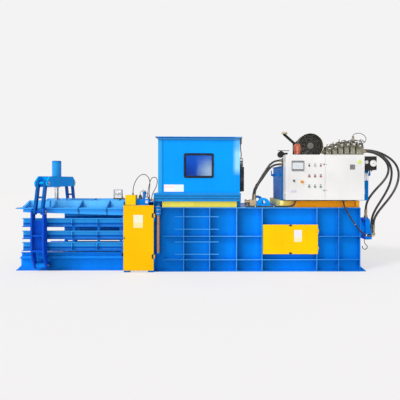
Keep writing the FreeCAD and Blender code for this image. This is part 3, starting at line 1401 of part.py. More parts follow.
# ---------------------------------------------------------------- hoses and cables
def hose_points():
    """Routes of the three big hoses from the valves' end to the tail block's screwed ends."""
    ends = hose_ends()
    inner = [V(valve_end, -120, 2050), V(2985, -120, 2050), V(3105, -121, 2020), V(3220, -121, 1960),
             V(3315, -120, 1870), V(3362, -118, 1755), V(3345, -114, 1630), V(3270, -107, 1510),
             V(3165, -95, 1395), V(3062, -82, 1270), V(2994, -68, 1155), V(ends[0].x, ends[0].y, 1045),
             ends[0]]
    middle = [V(valve_end, -55, 2058), V(3010, -55, 2058), V(3160, -55, 2030), V(3300, -54, 1955),
              V(3400, -52, 1850), V(3445, -48, 1730), V(3448, -42, 1590), V(3415, -32, 1440),
              V(3348, -18, 1290), V(3262, -2, 1140), V(3180, 12, 1000), V(3125, 22, 872),
              V(ends[1].x, ends[1].y, 762), ends[1]]
    outer = [V(valve_end, 15, 2085), V(3040, 15, 2085), V(3210, 20, 2055), V(3365, 24, 1990),
             V(3500, 22, 1895), V(3585, 16, 1775), V(3608, 6, 1630), V(3575, -8, 1475),
             V(3500, -25, 1325), V(3400, -40, 1190), V(3290, -52, 1065), V(3190, -60, 945),
             V(3130, -64, 845), V(ends[2].x, ends[2].y, 748), ends[2]]
    return inner, middle, outer


def return_hose_points():
    """Routes of the pair of hoses from the return block down to the roof fitting."""
    x, y = return_block_x, return_block_y
    near_end, far_end = [V(*place, return_end_z) for place in return_ends]
    upper = [V(x, y, 1872), V(1265, y, 1872), V(1165, -362, 1805), V(1085, -375, 1690),
             V(1005, -386, 1565), V(930, -395, 1440), V(near_end.x, near_end.y, 1340), near_end]
    lower = [V(x, y, 1806), V(1258, y, 1806), V(1160, -366, 1742), V(1075, -395, 1625),
             V(975, -428, 1490), V(915, -448, 1395), V(far_end.x, far_end.y, 1310), far_end]
    return upper, lower


def tying_cable_points():
    """Routes of the two cables that arch over the tying frame."""
    block_top = tying_block_top
    y1, y2 = -640.0, -585.0
    arch = [V(x, y1, z) for x, z in ((-1158, post_top), (-1158, 1375), (-1130, 1480), (-1078, 1570),
                                     (-1016, 1618), (-950, 1618), (-900, 1570), (-876, 1495),
                                     (-880, 1400), (-893, 1300), (-893, block_top))]
    loop = [V(x, y2, z) for x, z in ((-925, block_top), (-925, 1290), (-912, 1385), (-890, 1480),
                                     (-868, 1545), (-832, 1572), (-795, 1572), (-768, 1548),
                                     (-762, 1505), (-772, 1440), (-800, 1372), (-858, 1275),
                                     (-858, wall_top + frame_beam_height))]
    return arch, loop


def conduit_points():
    """Routes of the two clipped conduits from the cabinet's underside."""
    lying = wall_top + conduit / 2 + running_gap
    roof_run = [V(1553, -630, cabinet_bottom), V(1553, -630, 1150), V(1518, -630, 1104),
                V(1440, -630, lying), V(740, -630, lying)]
    out = -rib_outer - conduit
    tail_run = [V(2346, out, cabinet_bottom), V(2346, out, 1130), V(2392, out, 1035), V(2455, out, 925),
                V(2530, out, 805), V(2612, out, 700), V(2700, out - 4, 622), V(2795, -600, 585),
                V(2910, -470, 560), V(2962, -330, 560), V(2962, -tail_half_width, 560)]
    return roof_run, tail_run


def cord_group(name, routes, diameter):
    return Part.makeCompound([cord(f"{name} {k}", route, diameter) for k, route in enumerate(routes)])


# ---------------------------------------------------------------- all nodes
def nodes():
    near_wall = join([side_wall(True)] + cover_hinge_pins() + roller_brackets())
    door_left, door_right, left_hinges, right_hinges = cabinet_doors()
    made = {
        "near_side_wall": near_wall,
        "far_side_wall": across(side_wall(False)),
        "chamber_floor": chamber_floor(),
        "rear_roof": rear_roof(),
        "rear_end_frame": rear_end_frame(),
        "tying_frame": join([tying_frame(), wheel_seat()]),
        "chute_base": chute_base(),
        "guard_post": guard_post(),
        "guard_door": guard_door(),
        "near_side_bars": side_bars(chute_end, False),
        "far_side_bars": across(side_bars(far_bars_end, True)),
        "press_plate": press_plate(),
        "squeeze_yoke": yoke(),
        "squeeze_barrel": squeeze_barrel(),
        "squeeze_rod": squeeze_rod(),
        "near_lever": lever(),
        "far_lever": across(lever()),
        "near_links": links(),
        "far_links": across(links()),
        "ram": ram(),
        "ram_rod": ram_rod(),
        "main_cylinder": main_cylinder(),
        "pipe_fittings": Part.makeCompound(hose_fittings() + [brass_elbow()]),
        "access_cover": access_cover(),
        "hopper_shell": hopper_shell(),
        "window_seal": window_seal(),
        "window_pane": window_pane(),
        "hopper_sills": hopper_sills(),
        "feed_bars": feed_bars(),
        "junction_box": junction_box(),
        "tank_base": tank_base(),
        "oil_tank": oil_tank(),
        "drive_motor": drive_motor(),
        "fan_rotor": fan_rotor(),
        "hydraulic_pump": hydraulic_pump(),
        "valve_stack": valve_stack(),
        "cabinet_shell": cabinet_shell(left_hinges, right_hinges),
        "switchgear": switchgear(),
        "cabinet_door_left": door_left,
        "cabinet_door_right": door_right,
        "touch_screen": touch_screen(),
        "selector_switch": selector_switch(),
        "emergency_stop": push_button(*estop_place, estop_radius, 18, 14),
        "gauge_box": gauge_box(),
        "warning_beacon": warning_beacon(),
        "tank_pipework": Part.makeCompound([filler_elbow(), return_valve()]),
        "wire_cylinder": wire_cylinder(),
        "guide_roller": guide_roller(),
        "wheel_arm": wheel_arm(),
        "bale_wheel": bale_wheel(),
    }
    for label, z in button_rows:
        for x, what in zip(button_columns, button_names):
            made[f"button_{what}_{label}"] = push_button(x, z, button_radius, 6, 14)
    made["pressure_hoses"] = cord_group("pressure hose", hose_points(), pressure_hose)
    made["return_hoses"] = cord_group("return hose", return_hose_points(), return_hose)
    made["tying_cables"] = cord_group("tying cable", tying_cable_points(), tying_cable)
    made["conduits"] = cord_group("conduit", conduit_points(), conduit)
    return made


def main():
    os.makedirs("parts", exist_ok=True)
    for name, shape in nodes().items():
        shape.exportStep(f"parts/{name}.step")
        print(name, len(shape.Solids), shape.isValid(), round(shape.Volume / 1e6, 2))


main()
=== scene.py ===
import bpy
import bmesh
import json
import math
import random
from itertools import product
from mathutils import Matrix, Vector


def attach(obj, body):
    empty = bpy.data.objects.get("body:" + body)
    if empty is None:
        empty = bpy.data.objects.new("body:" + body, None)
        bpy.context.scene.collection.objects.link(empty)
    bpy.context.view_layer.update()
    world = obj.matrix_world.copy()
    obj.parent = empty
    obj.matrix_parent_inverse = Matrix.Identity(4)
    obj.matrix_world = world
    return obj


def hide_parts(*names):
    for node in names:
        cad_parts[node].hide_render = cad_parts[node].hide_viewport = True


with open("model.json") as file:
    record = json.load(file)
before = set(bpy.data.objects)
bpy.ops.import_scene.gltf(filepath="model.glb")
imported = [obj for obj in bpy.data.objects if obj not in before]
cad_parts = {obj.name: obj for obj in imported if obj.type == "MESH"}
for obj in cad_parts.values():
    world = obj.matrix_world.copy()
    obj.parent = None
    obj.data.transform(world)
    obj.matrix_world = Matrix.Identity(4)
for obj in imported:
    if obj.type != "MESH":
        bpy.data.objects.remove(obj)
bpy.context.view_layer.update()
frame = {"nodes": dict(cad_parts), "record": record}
dice = random.Random(7)   # turns of bolt heads, widths of weld beads, rise of leads, marks on the screen
near, far, up, down, left, right = (0, -1, 0), (0, 1, 0), (0, 0, 1), (0, 0, -1), (-1, 0, 0), (1, 0, 0)
sides = (-1, 1)


def startMaterial(name):
    material = bpy.data.materials.new(name)
    material.use_nodes = True
    tree = material.node_tree
    return material, tree, tree.nodes["Principled BSDF"]


def setInputs(tree, node, inputs):
    # an input takes a value or another node's output, and a colour is given without its alpha
    for key, value in inputs.items():
        socket = node.inputs[key]
        if isinstance(value, bpy.types.NodeSocket):
            tree.links.new(value, socket)
        else:
            socket.default_value = (*value, 1) if socket.type == "RGBA" else value


def addNode(tree, kind, inputs=None, **settings):
    node = tree.nodes.new("ShaderNode" + kind)
    for key, value in settings.items():
        setattr(node, key, value)
    setInputs(tree, node, inputs or {})
    return node


def noise(tree, scale, detail, stretch=(1, 1, 1)):
    # noise in the object's own metres, stretched along an axis when asked
    place = addNode(tree, "TexCoord").outputs["Object"]
    mapping = addNode(tree, "Mapping", {"Vector": place, "Scale": stretch})
    texture = {"Vector": mapping.outputs["Vector"], "Scale": scale, "Detail": detail}
    return addNode(tree, "TexNoise", texture).outputs["Fac"]


def remap(tree, value, low, high, toLow, toHigh):
    return addNode(tree, "MapRange", {"Value": value, "From Min": low, "From Max": high,
                                      "To Min": toLow, "To Max": toHigh}).outputs["Result"]


def patches(tree, scale, detail, low, high, toLow, toHigh, stretch=(1, 1, 1)):
    # noise between low and high, spread over the wanted range
    return remap(tree, noise(tree, scale, detail, stretch), low, high, toLow, toHigh)


def mixColour(tree, factor, first, second):
    return addNode(tree, "Mix", {0: factor, 6: first, 7: second}, data_type="RGBA").outputs[2]


def multiply(tree, first, second, operation="MULTIPLY"):
    return addNode(tree, "Math", {0: first, 1: second}, operation=operation).outputs[0]


def along(tree, axis, kind="Object"):
    # how far a point lies along one of the object's own axes
    place = addNode(tree, "TexCoord").outputs[kind]
    return addNode(tree, "SeparateXYZ", {"Vector": place}).outputs[axis]


def between(tree, place, low, high, soft, strength=1.0):
    # the strength between two places, nothing outside them
    return multiply(tree, remap(tree, place, low - soft, low + soft, 0.0, strength),
                    remap(tree, place, high - soft, high + soft, 1.0, 0.0))


def edgeMask(tree, radius, strength):
    # the strength along sharp edges, nothing on flat faces, and the softened normal
    soft = addNode(tree, "Bevel", {"Radius": radius}, samples=4).outputs["Normal"]
    flat = addNode(tree, "NewGeometry").outputs["Normal"]
    dot = addNode(tree, "VectorMath", {0: soft, 1: flat}, operation="DOT_PRODUCT").outputs["Value"]
    return remap(tree, dot, 1.0, 0.86, 0.0, strength), soft


def bump(tree, height, strength, distance, normal=None):
    inputs = {"Height": height, "Strength": strength, "Distance": distance}
    if normal is not None:
        inputs["Normal"] = normal
    return addNode(tree, "Bump", inputs).outputs["Normal"]


def shade(colour, factor):
    return tuple(min(1.0, channel * factor) for channel in colour)


paintwork = {
    "cloud": 0.07,          # lighter and darker than the colour, as a share
    "tintEdge": 0.004,      # over which a band or a fade begins
    "gleamEdge": 0.06,
    "cornerShadeReach": 0.09,    # how far apart two faces still get painted shade between them
    "waviness": 0.25,
    "orangePeel": 0.12,
}


def sprayPaint(name, colour, gloss=0.3, edge=(0.6, 0.75, 0.9), edgeWearAndHighlight=0.35, grimeAndCornerShade=0.35, radius=0.004,
               zones=(), bands=(), fades=(), gleams=(), shine=0.12):
    # sprayed steel: cloudy thickness, orange peel, edges paler with a painted highlight and a little wear, grime
    # streaks that run down, and painted shade in corners.
    # Each zone is (axis, from, to, colour, strength), a tint that grows along an axis of the piece,
    # each band is (axis, low, high, colour, strength), a tint between two places,
    # each fade is (axis, low, high, colour, strength), a tint that starts at low and dies out at high,
    # and each gleam is (from x, to x, low z, high z, colour, strength), a soft painted highlight at an edge.
    material, tree, shader = startMaterial(name)
    cloud, soft = paintwork["cloud"], paintwork["tintEdge"]
    base = mixColour(tree, patches(tree, 1.7, 4, 0.3, 0.7, 0, 1),
                     shade(colour, 1 - cloud), shade(colour, 1 + cloud))
    for axis, low, high, tint, strength in fades:
        place = along(tree, axis)
        inside = multiply(tree, remap(tree, place, low - soft, low + soft, 0, strength),
                          remap(tree, place, low, high, 1, 0))
        base = mixColour(tree, inside, base, tint)
    for axis, start, end, tint, strength in zones:
        base = mixColour(tree, remap(tree, along(tree, axis), start, end, 0, strength), base, tint)
    for start, end, low, high, tint, strength in gleams:
        across = remap(tree, along(tree, "X"), start, end, 0, strength)
        inside = multiply(tree, across, between(tree, along(tree, "Z"), low, high, paintwork["gleamEdge"]))
        base = mixColour(tree, inside, base, tint)
    for axis, low, high, tint, strength in bands:
        base = mixColour(tree, between(tree, along(tree, axis), low, high, soft, strength), base, tint)
    runs = patches(tree, 6, 5, 0.52, 0.78, 0, 0.16 * grimeAndCornerShade / 0.35, (2.4, 2.4, 0.22))
    base = mixColour(tree, runs, base, shade(colour, 0.45))
    # painted shade: darker in corners and hollows where faces stand close
    corners = addNode(tree, "AmbientOcclusion", {"Distance": paintwork["cornerShadeReach"]}, samples=4).outputs["AO"]
    base = mixColour(tree, remap(tree, corners, 0.35, 0.95, grimeAndCornerShade, 0), base, shade(colour, 0.42))
    # painted highlight: paler along sharp edges, with a little worn paint
    mask, smooth = edgeMask(tree, radius, edgeWearAndHighlight)
    base = mixColour(tree, multiply(tree, mask, patches(tree, 23, 4, 0.38, 0.62, 0.35, 1)), base, edge)
    peel = bump(tree, noise(tree, 240, 2), paintwork["orangePeel"], 0.0005, smooth)
    setInputs(tree, shader, {
        "Base Color": base, "Specular IOR Level": shine, "IOR": 1.22,
        "Roughness": patches(tree, 11, 5, 0.3, 0.7, gloss - 0.07, gloss + 0.1),
        "Normal": bump(tree, noise(tree, 2.6, 2), paintwork["waviness"], 0.004, peel)})
    return material


def rubbedPaint(name, colour, metal=(0.36, 0.36, 0.35), rust=(0.2, 0.1, 0.055), amount=0.75):
    # paint that waste has scraped away in long strokes, down to bright and rusty steel
    material, tree, shader = startMaterial(name)
    strokes = noise(tree, 5, 7, (0.35, 3, 2))
    bare = remap(tree, strokes, 0.42, 0.56, 0, amount)
    steel = mixColour(tree, patches(tree, 12, 6, 0.48, 0.7, 0, 0.55), metal, rust)
    setInputs(tree, shader, {
        "Base Color": mixColour(tree, bare, colour, steel), "Metallic": remap(tree, bare, 0, 1, 0, 0.8),
        "Roughness": patches(tree, 40, 4, 0.3, 0.7, 0.28, 0.5, (0.4, 3, 1)),
        "Normal": bump(tree, strokes, 0.3, 0.0015)})
    return material


def bareMetal(name, colour, roughness, brushed, grain, tarnish, metallic=1.0):
    material, tree, shader = startMaterial(name)
    base = mixColour(tree, patches(tree, 18, 5, 0.45, 0.75, 0, tarnish), colour, shade(colour, 0.45))
    # painted highlight: paler along sharp edges
    mask, smooth = edgeMask(tree, 0.002, 0.5)
    lines = noise(tree, grain, 3, brushed)
    setInputs(tree, shader, {
        "Base Color": mixColour(tree, mask, base, shade(colour, 1.5)), "Metallic": metallic,
        "Roughness": remap(tree, lines, 0.3, 0.7, roughness - 0.06, roughness + 0.1),
        "Normal": bump(tree, lines, 0.08, 0.0004, smooth)})
    return material


def moulded(name, colour, roughness=0.4, grain=420, depth=0.12, dust=0.12, specular=0.5):
    # moulded plastic or rubber with a fine grain and a little dust
    material, tree, shader = startMaterial(name)
    base = mixColour(tree, patches(tree, 14, 4, 0.45, 0.8, 0, dust), colour, (0.42, 0.4, 0.37))
    # painted highlight: paler along sharp edges
    mask, smooth = edgeMask(tree, 0.0015, 0.3)
    setInputs(tree, shader, {
        "Base Color": mixColour(tree, mask, base, shade(colour, 1.6)), "Specular IOR Level": specular,
        "Roughness": patches(tree, 30, 3, 0.3, 0.7, roughness - 0.06, roughness + 0.08),
        "Normal": bump(tree, noise(tree, grain, 2), depth, 0.0004, smooth)})
    return material


def hoseRubber(name, colour):
    # wrapped hydraulic hose: cloth marks round the cover, a dull sheen and scuffed patches
    material, tree, shader = startMaterial(name)
    setInputs(tree, shader, {
        "Base Color": mixColour(tree, patches(tree, 26, 5, 0.5, 0.75, 0, 0.35), colour, (0.05, 0.047, 0.043)),
        "Roughness": patches(tree, 40, 3, 0.3, 0.7, 0.3, 0.5), "Coat Weight": 0.15, "Coat Roughness": 0.3,
        "Normal": bump(tree, noise(tree, 340, 1, (1, 1, 1.6)), 0.3, 0.0006)})
    return material


pane = {
    "tint": (0.16, 0.45, 0.8),
    "hazeAndReflection": (0.36, 0.5, 0.68),
    "reflectionRight": (-0.12, 0.1, 0.8),          # across which the painted reflection grows to the right, and its share there
    "hazeLow": (1.9, 1.72, 0.12, 1.0),       # the same downward, with its share at the top and at the bottom
}


def windowGlass(name):
    # scratched clear sheet: see-through, with a pale patch to the lower right, haze where hands and waste have
    # rubbed it low down and a painted reflection towards the right
    material, tree, shader = startMaterial(name)
    setInputs(tree, shader, {"Base Color": pane["tint"], "Transmission Weight": 1.0, "IOR": 1.12,
                             "Roughness": patches(tree, 9, 6, 0.35, 0.7, 0.02, 0.22, (1, 1, 3))})
    hazeAndReflection = addNode(tree, "BsdfDiffuse", {"Color": pane["hazeAndReflection"]})
    rubbed = patches(tree, 3, 3, 0.3, 0.7, -0.04, 0.04)
    start, end, share = pane["reflectionRight"]
    across = remap(tree, multiply(tree, along(tree, "X"), rubbed, "ADD"), start, end, 0, share)
    downward = remap(tree, multiply(tree, along(tree, "Z"), rubbed, "ADD"), *pane["hazeLow"])
    mixShaders(tree, multiply(tree, across, downward), shader, hazeAndReflection)
    return material


def mixShaders(tree, factor, first, second):
    # mixes two shaders on the way to the tree's output
    mix = addNode(tree, "MixShader", {0: factor, 1: first.outputs[0], 2: second.outputs[0]})
    output = next(node for node in tree.nodes if "Surface" in node.inputs)
    tree.links.new(mix.outputs[0], output.inputs["Surface"])


def glowPlastic(name, colour, strength):
    # tinted clear plastic with light scattered inside it
    material, tree, shader = startMaterial(name)
    rings = noise(tree, 60, 2, (0.2, 0.2, 3))
    setInputs(tree, shader, {
        "Base Color": mixColour(tree, remap(tree, rings, 0.35, 0.65, 0, 0.6), colour, shade(colour, 0.55)),
        "Roughness": 0.25, "Subsurface Weight": 0.3, "Subsurface Radius": (0.03, 0.012, 0.006),
        "Coat Weight": 0.6, "Emission Color": colour, "Emission Strength": strength,
        "Normal": bump(tree, rings, 0.3, 0.001)})
    return material


def platePrint(name, ground, bands=(), roughness=0.35):
    # a bare plate with soft bands of colour, each (axis, from, to, colour) as shares of the plate
    material, tree, shader = startMaterial(name)
    base = mixColour(tree, patches(tree, 40, 4, 0.4, 0.75, 0, 0.3), ground, shade(ground, 0.82))
    for axis, start, end, tint in bands:
        base = mixColour(tree, between(tree, along(tree, axis, "Generated"), start, end, 0.02), base, tint)
    setInputs(tree, shader, {
        "Base Color": base, "Roughness": patches(tree, 30, 3, 0.3, 0.7, roughness - 0.05, roughness + 0.12),
        "Normal": bump(tree, noise(tree, 90, 2), 0.1, 0.0003)})
    return material


def weldMetal(name, colour):
    # painted weld bead with its ripples
    material, tree, shader = startMaterial(name)
    setInputs(tree, shader, {
        "Base Color": mixColour(tree, patches(tree, 30, 4, 0.4, 0.7, 0, 0.5), colour, shade(colour, 0.7)),
        "Roughness": 0.36, "Normal": bump(tree, noise(tree, 150, 2), 0.7, 0.002)})
    return material


print("materials")
paint = {
    "body": (0.001, 0.22, 0.80), "bodyRibHighlight": (0.09, 0.46, 1.0),
    "chute": (0.003, 0.245, 0.86), "chuteLitBlue": (0.13, 0.54, 0.99),
    "lever": (0.003, 0.088, 0.62), "link": (0.002, 0.115, 0.43),
    "squeeze": (0.032, 0.36, 0.80), "yoke": (0.002, 0.40, 0.93),
    "hopper": (0.001, 0.315, 0.95), "hopperEdgeHighlight": (0.03, 0.37, 0.72), "hopperPaleHighlight": (0.36, 0.78, 1.0),
    "sill": (0.011, 0.25, 0.66), "tank": (0.002, 0.175, 0.55),
    "yellow": (0.96, 0.57, 0.002), "doorYellow": (0.95, 0.50, 0.002), "postYellow": (0.90, 0.585, 0.005),
    "barYellow": (0.95, 0.80, 0.11), "orange": (1.0, 0.41, 0.012),
    "cabinet": (0.78, 0.765, 0.745), "black": (0.030, 0.029, 0.026), "cream": (0.66, 0.58, 0.36),
}
paintEdge = {
    "body": (0.16, 0.5, 0.95), "chute": (0.2, 0.55, 0.97), "squeeze": (0.3, 0.65, 0.98),
    "yellow": (0.98, 0.8, 0.3), "grey": (0.6, 0.6, 0.6),
}
# painted shadows and light: darker paint fading out to the right of each wall rib, dark bands at the press plate's
# gussets, and light and dark stripes up the chute's side bars
shadows = {
    "ribBays": ((-0.313, 0.34), (0.120, 0.36), (0.570, 0.34), (0.995, 0.36), (1.912, 0.30), (2.278, 0.30)),
    "gussets": (-3.107, -2.647, -2.092, -1.622),
    "gussetWidth": 0.027,
    "sideBars": ((0.337, 0.481), (0.535, 0.673), (0.737, 0.883)),
    # colour, where it begins and ends on a bar as shares of the bar's height, and strength
    "barTints": (((0.04, 0.40, 0.86), 0.48, 1, 0.85), ((0.002, 0.085, 0.42), 0.22, 0.48, 0.85),
                 ((0.1, 0.42, 0.85), 0.14, 0.22, 0.7), ((0.003, 0.13, 0.56), 0, 0.14, 0.7)),
    "barOverlap": 0.01,
}


def barBands():
    # painted light and shade: light and dark stripes up each bar of the chute's side; the outer two run past the
    # bar's edges
    past = {0: -shadows["barOverlap"], 1: shadows["barOverlap"]}
    return [("Z", low + start * (high - low) + past.get(start, 0), low + end * (high - low) + past.get(end, 0),
             tint, strength)
            for low, high in shadows["sideBars"] for tint, start, end, strength in shadows["barTints"]]


bodyBlue = sprayPaint("body blue", paint["body"], edge=(0.16, 0.45, 0.92))
# painted light and shade on the near wall: a lighter copy of the body blue, painted shadow fading out to the right
# of each rib, the ribs' front faces in a painted highlight, and painted shade deepening towards the left and the
# right end
wallBlue = sprayPaint(
    "wall blue", shade(paint["body"], 1.12), edge=paintEdge["body"],
    fades=[("X", start, start + length, shade(paint["body"], 0.5), 0.9) for start, length in shadows["ribBays"]],
    zones=(("Y", -0.6535, -0.6545, paint["bodyRibHighlight"], 0.9), ("X", 0.5, -0.75, shade(paint["body"], 0.6), 0.9),
           ("X", 1.7, 2.3, shade(paint["body"], 0.84), 0.8)))
# painted light: the tail in a lighter copy of the body blue
tailLitBlue = sprayPaint("tail blue lit", shade(paint["body"], 1.25), edge=paintEdge["body"])
# painted light: the roof's parts above about 1.09 m, the lifting lugs, in a lighter blue
roofBlue = sprayPaint("roof blue", paint["body"], edge=paintEdge["body"],
                      zones=(("Z", 1.084, 1.088, (0.008, 0.36, 0.88), 0.9),))
chuteBlue = sprayPaint("chute blue", paint["chute"], edge=paintEdge["chute"])
# painted shadow of the squeeze lever on the chute's base, fading out to the right, over a slightly lighter copy of
# the chute blue
baseBlue = sprayPaint("base blue", shade(paint["chute"], 1.05), edge=paintEdge["chute"],
                      fades=(("X", -2.60, -1.95, shade(paint["chute"], 0.35), 0.8),))
barBlue = sprayPaint("bar blue", paint["chute"], edge=paintEdge["chute"], bands=barBands())
# painted light and shade on the press plate: a lighter copy of the chute blue, a deeper blue towards the near
# edge, and painted shadows at the gussets
plateBlue = sprayPaint("press plate blue", paint["chuteLitBlue"], edge=paintEdge["squeeze"],
                       zones=(("Y", -0.5, -0.56, shade(paint["chute"], 1.3), 0.7),),
                       bands=[("X", start, start + shadows["gussetWidth"], (0.003, 0.14, 0.42), 0.85)
                              for start in shadows["gussets"]])
squeezeBlue = sprayPaint("squeeze blue", paint["squeeze"], edge=paintEdge["squeeze"])
yokeBlue = sprayPaint("yoke blue", paint["yoke"], edge=paintEdge["squeeze"], shine=0.04)
linkBlue = sprayPaint("link blue", paint["link"], edge=(0.35, 0.62, 0.95), edgeWearAndHighlight=0.5)
leverBlue = sprayPaint("lever blue", paint["lever"], edge=(0.35, 0.6, 0.95), edgeWearAndHighlight=0.5)
# painted light and shade on the hopper: pale painted highlights on the left corner strip, at the right edge and
# along the upper edge under the rim, and dark painted shade lines under the rim, on the rim's front and beside the
# left strip; the sides keep the plain hopper blue and the rim's top a deeper body blue
hopperBlue = sprayPaint(
    "hopper blue", paint["hopper"], edge=(0.3, 0.7, 0.99), grimeAndCornerShade=0.16,
    gleams=((0.50, 0.56, 1.66, 2.04, paint["hopperPaleHighlight"], 0.85),
            (0.50, 0.58, 2.04, 2.3, paint["hopperPaleHighlight"], 0.35)),
    bands=(("X", -0.684, -0.667, (0.001, 0.20, 0.66), 0.9), ("Z", 2.212, 2.2195, (0.2, 0.6, 1.0), 0.95),
           ("Z", 2.196, 2.209, (0.001, 0.10, 0.36), 0.85), ("Z", 2.224, 2.2335, (0.004, 0.08, 0.26), 0.8)),
    zones=(("X", -0.675, -0.695, paint["hopperEdgeHighlight"], 0.9), ("Y", -0.5985, -0.594, paint["hopper"], 1.0),
           ("Z", 2.196, 2.2, paint["hopperEdgeHighlight"], 0.8), ("Z", 2.231, 2.236, shade(paint["body"], 0.8), 1.0)))
sillBlue = sprayPaint("sill blue", paint["sill"], edge=(0.4, 0.72, 0.98), edgeWearAndHighlight=0.6)
tankBlue = sprayPaint("tank blue", paint["tank"], edge=(0.2, 0.5, 0.85), shine=0.03)
doorYellow = sprayPaint("door yellow", paint["doorYellow"], edge=paintEdge["yellow"], grimeAndCornerShade=0.2)
guardYellow = sprayPaint("guard yellow", paint["yellow"], edge=paintEdge["yellow"], grimeAndCornerShade=0.2)
postYellow = sprayPaint("post yellow", paint["postYellow"], edge=(0.98, 0.85, 0.4), grimeAndCornerShade=0.2)
barYellow = sprayPaint("bar yellow", paint["barYellow"], edge=(0.85, 0.82, 0.4), edgeWearAndHighlight=0.6)
baseOrange = sprayPaint("base orange", paint["orange"], edge=(0.98, 0.6, 0.25), grimeAndCornerShade=0.25,
                        zones=(("X", 1.62, 1.40, (1.0, 0.88, 0.28), 1.0),
                               ("X", 2.3, 2.6, (0.95, 0.42, 0.03), 0.7)))
cabinetWhite = sprayPaint("cabinet white", paint["cabinet"], 0.38, (0.92, 0.92, 0.92), 0.2, 0.14)
machineBlack = sprayPaint("machine black", paint["black"], 0.42, (0.2, 0.2, 0.19), 0.5, 0.3)
pipeBlack = sprayPaint("pipe black", paint["black"], 0.42, (0.2, 0.2, 0.19), 0.5, 0.3,
                       zones=(("Z", 2.3745, 2.3755, paint["cream"], 1.0),))
motorBlack = sprayPaint("motor black", (0.045, 0.043, 0.034), 0.38, (0.32, 0.31, 0.27), 0.8, 0.2, 0.003,
                        zones=(("Y", -0.2465, -0.2485, (0.17, 0.165, 0.135), 0.85),))
valveGrey = sprayPaint("valve grey", (0.40, 0.375, 0.27), 0.36, (0.6, 0.58, 0.48), 0.8, 0.6, 0.003)
sensorGrey = sprayPaint("sensor grey", (0.16, 0.17, 0.2), 0.4, paintEdge["grey"], 0.4, 0.3,
                        zones=(("Z", 1.79, 1.75, (0.012, 0.016, 0.045), 1.0),))
plainGrey = sprayPaint("plain grey", (0.33, 0.34, 0.35), 0.4, paintEdge["grey"], 0.4, 0.3)
armMetal = sprayPaint("arm grey", (0.55, 0.55, 0.55), 0.4, (0.8, 0.8, 0.8), 0.4, 0.3,
                      zones=(("Z", 1.204, 1.199, (0.02, 0.02, 0.02), 1.0),))
hubGrey = sprayPaint("hub grey", (0.17, 0.165, 0.14), 0.4, (0.5, 0.5, 0.45), 0.4, 0.3)
chromeRod = bareMetal("chrome rod", (0.44, 0.47, 0.5), 0.12, (0.4, 0.4, 4), 90, 0.1)
plainSteel = bareMetal("plain steel", (0.5, 0.5, 0.5), 0.34, (1, 1, 1), 70, 0.45)
wornSteel = bareMetal("worn steel", (0.32, 0.31, 0.3), 0.42, (0.3, 3, 1), 40, 0.6)
platedBrass = bareMetal("plated brass", (0.38, 0.30, 0.18), 0.35, (1, 1, 1), 50, 0.3, 0.7)
copperRoller = bareMetal("copper roller", (0.42, 0.24, 0.16), 0.42, (0.3, 0.3, 5), 60, 0.6, 0.5)
hoseBlack = hoseRubber("pressure hose rubber", (0.013, 0.012, 0.011))
sealRubber = moulded("seal rubber", (0.014, 0.014, 0.014), 0.45, 260, 0.25, 0.2)
windowRubber = moulded("window rubber", (0.004, 0.011, 0.018), 0.6, 260, 0.25, 0.05, 0.12)
trunkBlack = moulded("trunk black", (0.003, 0.010, 0.020), 0.55, specular=0.15)
blackPlastic = moulded("black plastic", (0.016, 0.016, 0.017), 0.42)
greyPlastic = moulded("grey plastic", (0.2, 0.2, 0.2), 0.42)
creamPlastic = moulded("cream plastic", paint["cream"])
redPlastic = moulded("red plastic", (0.5, 0.05, 0.035), 0.25, dust=0.05)
greenPlastic = moulded("green plastic", (0.13, 0.36, 0.24), 0.25, dust=0.05)
orangePlastic = moulded("orange plastic", (0.72, 0.2, 0.03), 0.25, dust=0.05)
yellowPlastic = moulded("yellow plastic", (0.88, 0.7, 0.25), 0.3, dust=0.05)
palePlastic = moulded("pale plastic", (0.7, 0.7, 0.68), 0.35, dust=0.05)
wirePlastic = {name: moulded(f"{name} wire", colour, dust=0.1) for name, colour in (
    ("black", (0.014, 0.014, 0.014)), ("grey", (0.2, 0.2, 0.19)), ("blue", (0.03, 0.1, 0.4)),
    ("red", (0.4, 0.03, 0.02)))}
windowSheet = windowGlass("window sheet")
beaconOrange = glowPlastic("beacon orange", (0.5, 0.08, 0.013), 0.06)
weldBlue = weldMetal("weld blue", paint["body"])
weldChute = weldMetal("weld chute", paint["chute"])
weldTank = weldMetal("weld tank", paint["tank"])
weldHopper = weldMetal("weld hopper", paint["hopper"])
rubbedBlue = rubbedPaint("rubbed blue", paint["body"])
whitePlate = platePrint("white plate", (0.8, 0.82, 0.86))
dialPlate = platePrint("dial plate", (0.82, 0.82, 0.8))
doorPlate = platePrint("guard door plate", (0.9, 0.86, 0.68),
                       (("Z", 0.42, 0.97, (0.82, 0.80, 0.60)), ("Z", 0.0, 0.4, (0.88, 0.76, 0.32))))
hopperPlate = platePrint("hopper plate", (0.86, 0.9, 0.97),
                         (("Z", 0.45, 0.85, (0.95, 0.72, 0.75)), ("X", 0.55, 1.1, (0.72, 0.84, 0.97)),
                          ("Z", 0.12, 0.2, (0.75, 0.8, 0.92))))
coverPlate = platePrint("cover plate", (0.93, 0.9, 0.86),
                        (("Z", 0.42, 0.97, (0.80, 0.78, 0.82)), ("Z", 0.0, 0.38, (0.84, 0.78, 0.5))))
screenFace = platePrint("screen face", (0.62, 0.65, 0.68), (("Z", 0.88, 1.1, (0.10, 0.12, 0.15)),
                                                            ("Z", -0.1, 0.12, (0.10, 0.12, 0.15))), 0.14)
lilacPlate = platePrint("lilac plate", (0.6, 0.55, 0.68), (("X", 0.05, 0.3, (0.75, 0.72, 0.78)),))
limePlate = platePrint("lime mark", (0.62, 0.74, 0.22))

